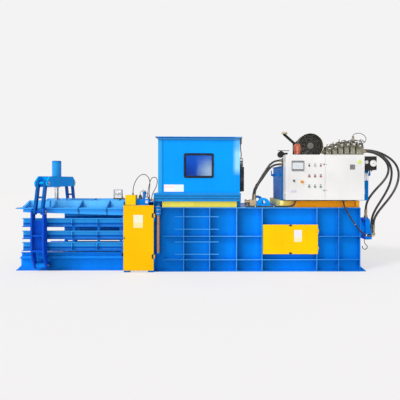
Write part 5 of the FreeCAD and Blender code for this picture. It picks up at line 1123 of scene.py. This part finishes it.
print("hopper")
hopper = {
    "plate": ((-0.648, -0.6085, 1.330), (-0.318, -0.6003, 1.450)),
    "sideBracket": ((0.616, -0.600, 2.135), (0.655, -0.440, 2.234)),
    "bracketLead": ((0.64, -0.52, 2.135), (0.64, -0.52, 2.05), (0.652, -0.5, 1.98), (0.652, -0.47, 1.93),
                    (0.65, -0.46, 1.9)),
    "trunk": ((0.617, -0.588, 1.335), (0.694, -0.506, 1.752)),
    "trunkRings": [1.375 + 0.066 * k for k in range(6)],
    "trunkRing": ((0.616, -0.590), (0.6965, -0.5045), 0.012),
    "lenses": (0.640, 0.664),
    "sensorLabel": ((0.628, -0.5235, 1.853), (0.674, -0.5202, 1.888)),
    "rimBolts": 14,
    "rimHeight": 2.10,
    "rimEnds": ((-0.742, left), (0.616, right)),
    "sillEnds": ((-0.820, left), (0.640, right)),
    "sillBolts": (-0.56, -0.3, 0.0, 0.3, 0.56),
    "sillHeights": (1.187, 1.291),
    "farBolts": (-0.7, -0.25, 0.2, 0.57),
    "corners": (-0.734, 0.608, 0.592),
    "cornerHeights": (1.31, 2.24),
    "foot": (-0.742, 0.616, 0.606, 1.309),
    "gasket": ((-0.303, 1.578), (0.169, 1.960)),
    "gasketCorner": 0.03,
}


def boltHopper():
    high = hopper["rimHeight"]
    with Piece("hopper_bolts", plainSteel) as bolts:
        for k in range(hopper["rimBolts"]):
            y = -0.54 + 1.08 * k / (hopper["rimBolts"] - 1)
            for x, way in hopper["rimEnds"]:
                if x < 0 or y > -0.36:      # the sensor bracket covers the others
                    bolts.bolt((x, y, high), way, 0.006)
        for y, (x, way), z in product(hopper["sillBolts"], hopper["sillEnds"], hopper["sillHeights"]):
            bolts.bolt((x, y, z), way, 0.009)
        for x in hopper["farBolts"]:
            bolts.bolt((x, 0.600, high), far, 0.006)
            for z in hopper["sillHeights"]:
                bolts.bolt((x, 0.625, z), far, 0.009)


def dressHopper():
    with Piece("hopper_plate", hopperPlate) as plate:
        plate.block(*hopper["plate"], 0.0008)
    with Piece("hopper_sensor_bracket", blackPlastic) as bracket:
        bracket.block(*hopper["sideBracket"], 0.004)
        bracket.tube(softLine(hopper["bracketLead"]), 0.008, 10)
    with Piece("hopper_cable_cover", trunkBlack) as trunk:
        trunk.block(*hopper["trunk"], 0.006)
        low, high, thick = hopper["trunkRing"]
        for z in hopper["trunkRings"]:
            trunk.block((*low, z), (*high, z + thick), 0.002)
    with Piece("hopper_sensor_face", palePlastic) as face:
        for x in hopper["lenses"]:
            face.lathe((x, -0.5205, 1.82), near, [(0, 0.008), (0.004, 0.008), (0.005, 0.006)], 16)
        face.block(*hopper["sensorLabel"], 0.002)
    boltHopper()
    with Piece("hopper_welds", weldHopper) as beads:
        start, end, y = hopper["corners"]
        low, high = hopper["cornerHeights"]
        first, last, flank, foot = hopper["foot"]
        for side in sides:
            beads.weld((start, side * y, low), (start, side * y, high))
            beads.weld((end, side * y, low), (end, side * y, high))
            beads.weld((first, side * flank, foot), (last, side * flank, foot), 0.004)
    with Piece("window_gasket_lip", sealRubber) as lip:
        (x0, z0), (x1, z1) = hopper["gasket"]
        corner = hopper["gasketCorner"]
        ring = []
        for x, z, start in ((x1 - corner, z1 - corner, 0), (x0 + corner, z1 - corner, 90),
                            (x0 + corner, z0 + corner, 180), (x1 - corner, z0 + corner, 270)):
            for angle in (math.radians(start + 15 * k) for k in range(7)):
                ring.append((x + corner * math.cos(angle), -0.6085, z + corner * math.sin(angle)))
        lip.tube(ring + ring[:1], 0.0035)


dressHopper()


cover = {
    "plate": ((1.526, -0.6725, 0.500), (1.655, -0.6698, 0.696)),
    "locks": ((1.466, 0.774), (1.466, 0.310)),
    "hinges": (0.395, 0.687),
}


def dressCover():
    with Piece("cover_plate", coverPlate, "cover") as plate:
        plate.block(*cover["plate"])
    with Piece("cover_locks", blackPlastic, "cover") as locks:
        for x, z in cover["locks"]:
            locks.lathe((x, -0.670, z), near, [(0, 0.017), (0.004, 0.017), (0.006, 0.014)])
            locks.block((x - 0.026, -0.682, z - 0.007), (x + 0.026, -0.675, z + 0.007), 0.002)
    with Piece("cover_hinge_plates", guardYellow, "cover") as plates:
        for z in cover["hinges"]:
            plates.block((1.896, -0.6725, z - 0.028), (1.924, -0.6698, z + 0.03))
            for dz in (-0.018, 0.02):
                plates.screw((1.910, -0.6725, z + dz), near, 0.004)


dressCover()


print("control cabinet")
cabinet = {
    "face": -0.720,
    "columns": (1.764, 1.861, 1.955),
    "lampRow": 1.768,
    "lamps": ((blackPlastic, "black"), (palePlastic, "pale"), (redPlastic, "red")),
    "lamp": [(-0.004, 0.0105), (0.003, 0.011), (0.0065, 0.0095), (0.0078, 0.005)],
    "rows": (1.594, 1.421),
    "labelHeights": (0.026, 0.036),      # of the blank strip over each button
    "selector": (1.512, 1.518),
    "stop": (1.644, 1.501),
    "stopCrown": [(0, 0.0195), (0.0022, 0.0175), (0.0036, 0.012), (0.0042, 0.004)],
    "screen": ((1.485, 1.694), (1.664, 1.836)),
    "screenRows": 7,
    "screenScrews": ((1.4775, 1.6715), (1.6865, 1.8435)),
    "barePlate": ((1.412, 1.324), (1.553, 1.365)),
    "vent": ((2.440, 1.707), (2.523, 1.789)),
    "ventSlats": 9,
    "spot": (2.598, 1.831),
    "locks": ((2.008, "left_door", greyPlastic), (2.046, "right_door", plainSteel)),
    "lockHeights": (1.36, 1.79),
    "seals": (("left_door", 1.380, 2.019), ("right_door", 2.035, 2.674)),
    "sealHeights": (1.208, 1.942),
    "roofBolts": ((1.42, 2.63), (-0.655, -0.52)),
    "roof": 1.950,
    "beacon": (1.597, -0.560),
    "beaconRings": (2.014, 2.042, 2.070),
}


def dressCabinetFront():
    y, columns = cabinet["face"], cabinet["columns"]
    with Piece("button_bezels", blackPlastic, "left_door") as bezels:
        for x, z in [*product(columns, cabinet["rows"]), cabinet["selector"]]:
            bezels.ring((x, y, z), near, 0.0185, 0.0145, 0.0035, 32)
        for x in columns:
            bezels.ring((x, y, cabinet["lampRow"]), near, 0.0165, 0.0112, 0.004, 32)
    for x, (material, name) in zip(columns, cabinet["lamps"]):
        slot = "red_plastic" if name == "red" else "black_plastic"
        with Piece(f"lamp_{name}", material, "left_door", slot) as lamp:
            lamp.lathe((x, y, cabinet["lampRow"]), near, cabinet["lamp"], 28)
    x, z = cabinet["stop"]
    with Piece("stop_collar", yellowPlastic, "left_door") as collar:
        collar.ring((x, y, z), near, 0.031, 0.0216, 0.0022, 48)
    with Piece("stop_crown", orangePlastic, "stop_button") as crown:
        crown.lathe((x, y - 0.0226, z), near, cabinet["stopCrown"], 36)
    x, z = cabinet["selector"]
    with Piece("selector_mark", palePlastic, "selector") as mark:
        mark.block((x - 0.0012, y - 0.0246, z + 0.002), (x + 0.0012, y - 0.0238, z + 0.013), 0.0002)
    low, high = cabinet["labelHeights"]
    with Piece("button_bare_plates", greyPlastic, "left_door") as labels:
        for x, z in product(columns, (*cabinet["rows"], cabinet["lampRow"])):
            labels.block((x - 0.016, y - 0.001, z + low), (x + 0.016, y, z + high), 0.0003)


def dressScreen():
    (x0, z0), (x1, z1) = cabinet["screen"]
    y = cabinet["face"] - 0.005
    with Piece("screen_glass", screenFace, "left_door") as glass:
        glass.block((x0 + 0.001, y - 0.0008, z0 + 0.001), (x1 - 0.001, y, z1 - 0.001), 0.0003)
    with Piece("screen_keys", greyPlastic, "left_door", "black_plastic") as keys:
        count = cabinet["screenRows"]
        for k, low in product(range(count), (z1 - 0.018, z0 + 0.006)):
            start = x0 + 0.006 + (x1 - x0 - 0.012) * k / count
            keys.block((start + 0.002, y - 0.0014, low), (start + 0.021, y - 0.0007, low + 0.012), 0.0003)
        for k, j in product(range(4), range(5)):
            x, width, z = x0 + 0.014 + 0.033 * j, 0.010 + 0.014 * dice.random(), z1 - 0.042 - 0.028 * k
            keys.block((x, y - 0.0013, z), (x + width, y - 0.0007, z + 0.0035), 0.0002)
    with Piece("screen_screws", plainSteel, "left_door") as screws:
        for x, z in product(*cabinet["screenScrews"]):
            screws.screw((x, y - 0.003, z), near, 0.0022)


def dressCabinetBody():
    y = cabinet["face"]
    with Piece("cabinet_bare_plate", lilacPlate, "left_door") as plate:
        (x0, z0), (x1, z1) = cabinet["barePlate"]
        plate.block((x0, y - 0.0012, z0), (x1, y, z1), 0.0004)
    with Piece("cabinet_vent", greyPlastic, "right_door") as vent:
        (x0, z0), (x1, z1) = cabinet["vent"]
        vent.block((x0, y - 0.004, z0), (x1, y, z1), 0.0015)
        for k in range(cabinet["ventSlats"]):
            z = z0 + 0.008 + (z1 - z0 - 0.016) * k / (cabinet["ventSlats"] - 1)
            vent.block((x0 + 0.006, y - 0.0062, z - 0.0018), (x1 - 0.006, y - 0.0038, z + 0.0018), 0.0005)
    with Piece("cabinet_round_mark", limePlate, "right_door") as spot:
        x, z = cabinet["spot"]
        spot.ring((x, y, z), near, 0.038, 0.0375, 0.001, 48)
        spot.lathe((x, y, z), near, [(0, 0.0376), (0.0009, 0.0376), (0.0012, 0.037)], 48)
    for x, body, material in cabinet["locks"]:
        with Piece(f"{body}_locks", material, body, "steel") as locks:
            for z in cabinet["lockHeights"]:
                locks.lathe((x, y, z), near, [(0, 0.0125), (0.003, 0.0125), (0.0045, 0.011)])
                locks.block((x - 0.0022, y - 0.0055, z - 0.006), (x + 0.0022, y - 0.004, z + 0.006), 0.0004)
    low, high = cabinet["sealHeights"]
    for body, x0, x1 in cabinet["seals"]:
        with Piece(f"{body}_seal", sealRubber, body) as seal:
            ring = levelRoute(-0.701, (x0, low), (x1, low), (x1, high), (x0, high))
            for a, b in zip(ring, ring[1:] + ring[:1]):
                seal.tube([a, b], 0.0035, 6)
    roof, beacon = cabinet["roof"], cabinet["beacon"]
    with Piece("cabinet_roof_bolts", plainSteel) as bolts:
        for x, y in product(*cabinet["roofBolts"]):
            bolts.bolt((x, y, roof), up, 0.009)
        for place in circle((*beacon, roof), 0.056, 4, math.pi / 4):
            bolts.screw(place, up, 0.0035)
    with Piece("beacon_rings", beaconOrange) as rings:
        for z in cabinet["beaconRings"]:
            rings.ring((*beacon, z), up, 0.0635, 0.0615, 0.005, 48)
    with Piece("beacon_foot", blackPlastic) as foot:
        foot.ring((*beacon, roof), up, 0.0535, 0.0495, 0.018, 48)


wiring = {
    "start": (1.432, 1.260),             # x and z that the switchgear is measured from
    "breakers": [0.070 + 0.090 * k for k in range(5)],
    "relays": [0.074 + 0.034 * k for k in range(12)],
    "poles": (0, 0.020, 0.040),
    "poleHeights": (0.478, 0.552),
    "terminals": [0.065 + 0.042 * k for k in range(26)],
    "leads": (("black", 0.0), ("blue", 0.006), ("red", 0.012)),
    # bends from breaker to duct and from duct to terminal, each (x, y, z)
    "bends": (((0, -0.578, 0.474), (0, -0.590, 0.455), (0.01, -0.572, 0.41), (0.004, -0.55, 0.385),
               (0.002, -0.53, 0.362)),
              ((0, -0.548, 0.255), (0.004, -0.575, 0.240), (0.01, -0.57, 0.218), (0.008, -0.545, 0.206))),
}


def wireCabinet():
    # wiring behind the doors: device faces, terminals and looms in the duct
    x0, z0 = wiring["start"]
    with Piece("switchgear_faces", palePlastic) as faces:
        for dx in wiring["breakers"]:
            faces.block((x0 + dx + 0.008, -0.581, z0 + 0.490), (x0 + dx + 0.062, -0.5755, z0 + 0.540), 0.002)
        for dx in wiring["relays"]:
            faces.block((x0 + dx, -0.560, z0 + 0.280), (x0 + dx + 0.018, -0.5555, z0 + 0.325), 0.0015)
    with Piece("switchgear_screws", plainSteel) as screws:
        for dx, pole, z in product(wiring["breakers"], wiring["poles"], wiring["poleHeights"]):
            screws.screw((x0 + dx + 0.015 + pole, -0.576, z0 + z), near, 0.0035)
        for dx in wiring["terminals"]:
            screws.screw((x0 + dx, -0.542, z0 + 0.197), near, 0.003)
    for colour, offset in wiring["leads"]:
        with Piece(f"switchgear_leads_{colour}", wirePlastic[colour]) as leads:
            for dx, bends in product(wiring["breakers"], wiring["bends"]):
                start = x0 + dx + 0.015 + offset
                leads.tube(softLine([(start + x, y, z0 + z) for x, y, z in bends], 4), 0.0022, 6)


dressCabinetFront()
dressScreen()
dressCabinetBody()
wireCabinet()


print("power unit")
tank = {
    "near": -0.450,
    "lid": 1.770,
    "lidBolts": [1.40 + 1.40 * k / 11 for k in range(12)],
    "lidSides": (-0.440, 0.440),
    "endBolts": ((1.358, 2.842), (-0.22, 0.0, 0.22)),
    "cleanouts": (1.75, 2.45),
    "cleanoutHeight": 1.47,
    "cleanout": [(0, 0.188), (0.010, 0.188), (0.012, 0.185), (0.012, 0.12), (0.018, 0.115), (0.018, 0.03)],
    "handle": ((-0.05, 0.466), (-0.05, 0.50), (-0.035, 0.512), (0.035, 0.512), (0.05, 0.50), (0.05, 0.466)),
    "gauge": ((2.788, 1.524), (2.852, 1.654)),
    "corners": ((1.349, 0.002), (2.852, -0.002)),
    "cornerHeights": (1.19, 1.745),
}


def dressTank():
    y, lid, height = tank["near"], tank["lid"], tank["cleanoutHeight"]
    with Piece("tank_bolts", plainSteel) as bolts:
        for x, side in product(tank["lidBolts"], tank["lidSides"]):
            bolts.bolt((x, side, lid), up, 0.009)
        for x, place in product(*tank["endBolts"]):
            bolts.bolt((x, place, lid), up, 0.009)
        for x in tank["cleanouts"]:
            for place in circle((x, 0.462, height), 0.165, 16, 0, far):
                bolts.bolt(place, far, 0.010)
    with Piece("tank_cleanout_covers", tankBlue) as covers:
        for x in tank["cleanouts"]:
            covers.lathe((x, -y, height), far, tank["cleanout"], 64)
            covers.tube(softLine([(x + dx, reach, height) for dx, reach in tank["handle"]]), 0.007, 10)
    (x0, z0), (x1, z1) = tank["gauge"]
    middle = (x0 + x1) / 2
    with Piece("level_gauge", whitePlate) as level:
        level.block((x0, y - 0.010, z0), (x1, y, z1), 0.003)
        level.tube([(middle, y - 0.016, z0 + 0.02), (middle, y - 0.016, z1 - 0.02)], 0.007, 14)
    with Piece("level_gauge_bolts", plainSteel) as bolts:
        for z in (z0 + 0.014, z1 - 0.014):
            bolts.bolt((middle, y - 0.010, z), near, 0.010)
    with Piece("tank_welds", weldTank) as beads:
        low, high = tank["cornerHeights"]
        for side, (x, lean) in product((y * 1.004, -y * 1.004), tank["corners"]):
            beads.weld((x + lean, side, low), (x, side, high), 0.004)


gaugeBox = {
    "dial": (2.845, -0.678, 1.812),
    "ticks": 28,
    "tickSweep": (-45, 225),
    "pointerAt": 205,
    "roundUnit": (2.738, -0.660, 1.832),
    "screws": ((2.710, 2.900), (1.712, 1.918)),
    "glands": (2.74, 2.80, 2.86),
}


def dressGaugeBox():
    x, y, z = gaugeBox["dial"]
    with Piece("dial_ring", plainSteel) as rim:
        rim.ring((x, y, z), near, 0.0578, 0.049, 0.007, 56)
    with Piece("dial_face", dialPlate) as face:
        face.lathe((x, y, z), near, [(0, 0.0495), (0.0012, 0.0495), (0.0014, 0.049)], 56)
    with Piece("dial_marks", blackPlastic) as marks:
        first, last = gaugeBox["tickSweep"]
        for k in range(gaugeBox["ticks"]):
            angle = math.radians(first + (last - first) * k / (gaugeBox["ticks"] - 1))
            way = Vector((math.cos(angle), 0, math.sin(angle)))
            centre = Vector((x, y - 0.0015, z))
            marks.tube([centre + way * (0.040 if k % 3 else 0.036), centre + way * 0.0445], 0.0008, 4)
        angle = math.radians(gaugeBox["pointerAt"])
        tip = Vector((math.cos(angle), 0, math.sin(angle)))
        centre = Vector((x, y - 0.0035, z))
        marks.tube([centre - tip * 0.012, centre, centre + tip * 0.034], [0.0016, 0.0022, 0.0006], 6)
        marks.lathe((x, y - 0.001, z), near, [(0, 0.006), (0.003, 0.006), (0.004, 0.004)], 20)
    with Piece("round_unit_ring", greyPlastic) as rim:
        rim.ring(gaugeBox["roundUnit"], near, 0.034, 0.028, 0.012)
    with Piece("round_unit_face", palePlastic) as face:
        face.lathe(gaugeBox["roundUnit"], near,
                   [(0, 0.0285), (0.006, 0.0285), (0.010, 0.024), (0.0115, 0.012)], 40)
    with Piece("gauge_box_screws", plainSteel) as screws:
        for x, z in product(*gaugeBox["screws"]):
            screws.screw((x, -0.660, z), near, 0.004)
    with Piece("gauge_box_glands", blackPlastic) as glands:
        for x in gaugeBox["glands"]:
            glands.lathe((x, -0.575, 1.700), down,
                         [(0, 0.013), (0.006, 0.013), (0.007, 0.011), (0.020, 0.010)], 12)


motor = {
    "axis": (1.900, 2.136),
    "cowlFront": -0.250,
    "hub": [(0, 0.058), (0.003, 0.056), (0.006, 0.040), (0.007, 0.012)],
    "footBolts": ((-0.005, 0.275), (-0.150, 0.150)),
    "lid": ((0.086, 0.046, 0.190), (0.234, 0.234, 0.202)),
    "cableGlands": (0.10, 0.18),
    "highlightDegrees": (-38, 40),
}


def dressMotor():
    x, z = motor["axis"]
    y = motor["cowlFront"]
    with Piece("cowl_rim", motorBlack) as rim:
        rim.ring((x, y + 0.002, z), near, 0.2235, 0.2165, 0.004, 96)
    with Piece("guard_hub", hubGrey) as hub:
        hub.lathe((x, y + 0.005, z), near, motor["hub"], 48)
    with Piece("motor_bolts", plainSteel) as bolts:
        centre = Vector((x, y + 0.02, z))
        for place in circle(centre, 0.2265, 8, math.pi / 8, near):
            bolts.bolt(place, (place - centre).normalized(), 0.0045)
        for place in circle((x, -0.120, z), 0.16, 4, math.pi / 4, near):
            bolts.bolt(place, near, 0.008)
        for depth, dx in product(*motor["footBolts"]):
            bolts.bolt((x + dx, depth, z - 0.196), up, 0.012)
        for place in circle((x, 0.610, z), 0.06, 8, 0, far):
            bolts.bolt(place, far, 0.009)
    with Piece("terminal_box_lid", blackPlastic) as lid:
        lid.block(*[(x + dx, depth, z + dz) for dx, depth, dz in motor["lid"]], 0.003)
        for depth in motor["cableGlands"]:
            lid.lathe((x + 0.230, depth, z + 0.14), right,
                      [(0, 0.018), (0.014, 0.018), (0.016, 0.014), (0.03, 0.013)], 12)
    with Piece("motor_lifting_eye", plainSteel) as eye:
        loop = list(circle((x, 0.16, z + 0.218), 0.028, 24, 0, near))
        eye.tube(loop + loop[:1], 0.008, 10)
    # painted highlight: a pale arc on the right of the cowl's rim
    with Piece("cowl_rim_painted_highlight", creamPlastic) as edge:
        start, end = motor["highlightDegrees"]
        angles = [math.radians(start + (end - start) * k / 24) for k in range(25)]
        edge.tube([(x + 0.2275 * math.cos(a), y + 0.004, z + 0.2275 * math.sin(a)) for a in angles], 0.0045)


valves = {
    "places": [(2.233 + 0.108 * k, 2.079 + step)
               for k, step in enumerate((0, 0.034, 0.066, 0.078, 0.078, 0.052))],
    "nut": [(0, 0.017), (0.010, 0.017), (0.012, 0.014), (0.020, 0.007)],
    "coilRings": (-0.262, -0.246),
    "plugs": ((-0.292, -0.258), (0.0, 0.028)),
    "screwColumns": (-0.028, 0.028),
    "topScrews": (-0.215, -0.05),
    "base": 1.995,
    "frontScrews": (0.02, 0.055),
    "gaugePoint": [(0, 0.010), (0.006, 0.010), (0.007, 0.013), (0.012, 0.013), (0.014, 0.009)],
    "leads": (("black", 0.0), ("grey", 0.014)),
    "leadEnd": 2.80,
}


def dressValves():
    with (Piece("valve_nuts", plainSteel) as nuts, Piece("valve_coils_and_plugs", blackPlastic) as black,
          Piece("valve_gauge_points", platedBrass) as brass, Piece("valve_plates", palePlastic) as pale):
        for k, (x, coil) in enumerate(valves["places"]):
            low = coil - 0.013
            nuts.lathe((x, -0.290, coil), near, valves["nut"], 6)
            nuts.lathe((x, 0.030, coil), far, valves["nut"], 6)
            for y in valves["coilRings"]:
                black.block((x - 0.0255, y - 0.003, coil - 0.0265), (x + 0.0255, y + 0.003, coil + 0.0265))
            for start, end in valves["plugs"]:
                black.block((x - 0.018, start, coil + 0.026), (x + 0.018, end, coil + 0.056), 0.003)
            for dx in valves["screwColumns"]:
                for y in valves["topScrews"]:
                    nuts.screw((x + dx, y, low + 0.079), up, 0.0065)
                for z in (valves["base"] + height for height in valves["frontScrews"]):
                    if z < low - 0.02:
                        nuts.screw((x + dx, -0.220, z), near, 0.006)
            brass.lathe((x, -0.130, low + 0.099 + 0.010 * (k % 3)), up, valves["gaugePoint"], 12)
            pale.lathe((x - 0.022, -0.220, 2.02), near, [(0, 0.009), (0.010, 0.009), (0.012, 0.006)], 16)
            if k % 2:
                pale.block((x - 0.014, -0.2375, low + 0.036), (x + 0.014, -0.2345, low + 0.056), 0.0008)
    for colour, shift in valves["leads"]:
        with Piece(f"valve_leads_{colour}", wirePlastic[colour]) as leads:
            for k, (x, coil) in enumerate(valves["places"]):
                top, end, rise = coil + 0.056, valves["leadEnd"] + 0.012 * k, 0.018 + 0.022 * dice.random()
                if colour == "grey" and k % 2:
                    continue
                bends = ((x, -0.276, top), (x + 0.004, -0.278, top + rise * 0.7),
                         (x + 0.045, -0.272, top + rise), (x + 0.10, -0.262, top + rise * 0.5),
                         (min(x + 0.2, valves["leadEnd"]), -0.225, 2.205 + 0.01 * k),
                         (end, -0.20, 2.155), (end + 0.01, -0.15, 2.09), (end, -0.10, 2.06))
                leads.tube(softLine([(bx, by + shift, bz) for bx, by, bz in bends], 5), 0.0042, 6)


tower = {
    "place": (2.752, 0.010),
    "plug": [(0, 0.021), (0.010, 0.021), (0.013, 0.014), (0.022, 0.012), (0.026, 0.007)],
    # how far the lead has gone to the right and to the front at each bend, and its height
    "lead": ((0, 0, 2.338), (0.004, 0, 2.362), (0.04, 0, 2.385), (0.11, -0.005, 2.395), (0.19, -0.01, 2.365),
             (0.235, -0.012, 2.30), (0.215, -0.012, 2.235), (0.15, -0.01, 2.195), (0.08, -0.01, 2.17),
             (0.045, -0.012, 2.12), (0.04, -0.015, 2.09)),
}


def dressTower():
    x, y = tower["place"]
    with Piece("sensor_tower_plug", blackPlastic) as plug:
        plug.lathe((x, y, 2.318), up, tower["plug"])
        plug.lathe((x, y, 2.262), up, [(0, 0.027), (0.008, 0.027), (0.009, 0.025)], 6)
    with Piece("sensor_tower_lead", wirePlastic["black"]) as lead:
        lead.tube(softLine([(x + dx, y + dy, z) for dx, dy, z in tower["lead"]]), 0.0055)


pipework = {
    "breather": (1.655, -0.010),
    "flangeTop": 1.784,
    "clamps": (1.95, 2.12),
    "filterTop": (1.4725, -0.350, 1.9155),
    "cap": (1.478, -0.010),
    "capProfile": [(0, 0.0535), (0.001, 0.0552), (0.018, 0.0552), (0.019, 0.0535)],
    "capBottom": 2.3765,
    "knurls": 20,
}


def dressPipework():
    with Piece("pipework_bolts", plainSteel) as bolts:
        for place in circle((*pipework["breather"], pipework["flangeTop"]), 0.039, 6, 0.2):
            bolts.bolt(place, up, 0.006)
        for place in circle(pipework["filterTop"], 0.06, 4, math.pi / 4):
            bolts.screw(place, up, 0.009)
    with Piece("breather_cap", creamPlastic) as cap:
        low = pipework["capBottom"]
        cap.lathe((*pipework["cap"], low), up, pipework["capProfile"], 48)
        for x, y, z in circle((*pipework["cap"], low), 0.0545, pipework["knurls"]):
            cap.block((x - 0.002, y - 0.002, z + 0.002), (x + 0.002, y + 0.002, z + 0.0175), 0.0008)
    with Piece("breather_clamps", wornSteel) as clamps:
        for z in pipework["clamps"]:
            clamps.ring((*pipework["breather"], z), up, 0.0285, 0.0243, 0.016, 32)


dressTank()
dressGaugeBox()
dressMotor()
dressValves()
dressTower()
dressPipework()


print("tail")
tail = {
    "endBolts": ((-0.135, 0.135), (0.50, 0.785)),
    "end": 3.005,
    "topScrews": ((2.94, 2.985), (-0.13, 0.13)),
    "lead": ((2.90, -0.172, 0.47), (2.894, -0.178, 0.444), (2.90, -0.18, 0.40), (2.935, -0.18, 0.36),
             (2.949, -0.178, 0.335), (2.938, -0.175, 0.300), (2.913, -0.172, 0.284), (2.885, -0.17, 0.292),
             (2.867, -0.168, 0.317), (2.866, -0.166, 0.345)),
    "elbows": (0.025, -0.065),
    "elbowPlug": [(0, 0.0), (0.001, 0.014), (0.009, 0.014), (0.011, 0.011)],
    "lug": (0.965, 1.105, 0.48, 1.071),
    "lugHalf": 0.0105,
}


def dressTail():
    with Piece("tail_block_bolts", plainSteel) as bolts:
        for y, z in product(*tail["endBolts"]):
            bolts.bolt((tail["end"], y, z), right, 0.013)
        for x, y in product(*tail["topScrews"]):
            bolts.screw((x, y, 0.830), up, 0.009)
    with Piece("tail_lead", wirePlastic["black"]) as lead:
        lead.tube(softLine(tail["lead"]), 0.0065)
    with Piece("elbow_plugs", platedBrass) as plugs:
        for y in tail["elbows"]:
            plugs.lathe((3.106, y, 0.5085), down, tail["elbowPlug"], 6)
    with Piece("lifting_lug_welds", weldBlue) as beads:
        start, end, middle, z = tail["lug"]
        for side, half in product(sides, (-tail["lugHalf"], tail["lugHalf"])):
            beads.weld((start, side * middle + half, z), (end, side * middle + half, z), 0.004)


dressTail()


print("floor and light")
studio = {
    "floorSize": 60.0,
    "floorColour": (0.8, 0.79, 0.78),
    "floorGlow": (0.905, 0.884, 0.878),
    "floorGlowStrength": 1.13,
    "floorGlowShare": 0.62,
    "paper": (0.905, 0.895, 0.9),
    "skyColour": (0.93, 0.96, 1.0),
    "skyStrength": 0.53,
    # strength, angle and turn, both in degrees
    "key": (1.6, 14.0, (42.0, -24.0, -28.0)),
    "fill": (1.5, 50.0, (86.0, 0.0, -6.0)),
}


def layFloor():
    # plain paper whose own glow, for the camera alone, lifts it to the background and leaves the shadow
    material, tree, shader = startMaterial("paper floor")
    setInputs(tree, shader, {"Base Color": studio["floorColour"], "Roughness": 0.9, "Specular IOR Level": 0.1})
    glow = addNode(tree, "Emission", {"Color": studio["floorGlow"], "Strength": studio["floorGlowStrength"]})
    seen = addNode(tree, "LightPath").outputs["Is Camera Ray"]
    mixShaders(tree, multiply(tree, seen, studio["floorGlowShare"]), shader, glow)
    bm = bmesh.new()
    bmesh.ops.create_grid(bm, x_segments=1, y_segments=1, size=studio["floorSize"] / 2)
    mesh = bpy.data.meshes.new("floor")
    bm.to_mesh(mesh)
    bm.free()
    mesh.materials.append(material)
    floor = bpy.data.objects.new("floor", mesh)
    floor.location.z = -0.001
    bpy.context.scene.collection.objects.link(floor)


def lightStudio():
    # a soft key from the upper left front and a wide low fill from the front
    for name in ("key", "fill"):
        strength, angle, turn = studio[name]
        data = bpy.data.lights.new(name, "SUN")
        data.energy = strength
        data.angle = math.radians(angle)
        lamp = bpy.data.objects.new(name, data)
        lamp.rotation_euler = [math.radians(degrees) for degrees in turn]
        bpy.context.scene.collection.objects.link(lamp)
    # the camera, mirrors and windows see the paper, and everything else is lit by the sky
    world = bpy.data.worlds.new("studio")
    bpy.context.scene.world = world
    world.use_nodes = True
    tree = world.node_tree
    tree.nodes.clear()
    addNode(tree, "OutputWorld")
    path = addNode(tree, "LightPath").outputs
    seen = multiply(tree, path["Is Camera Ray"], path["Is Glossy Ray"], "MAXIMUM")
    mixShaders(tree, multiply(tree, seen, path["Is Transmission Ray"], "MAXIMUM"),
               addNode(tree, "Background", {"Color": studio["skyColour"], "Strength": studio["skyStrength"]}),
               addNode(tree, "Background", {"Color": studio["paper"], "Strength": 1.0}))


layFloor()
lightStudio()
bpy.context.scene.view_settings.view_transform = "Standard"
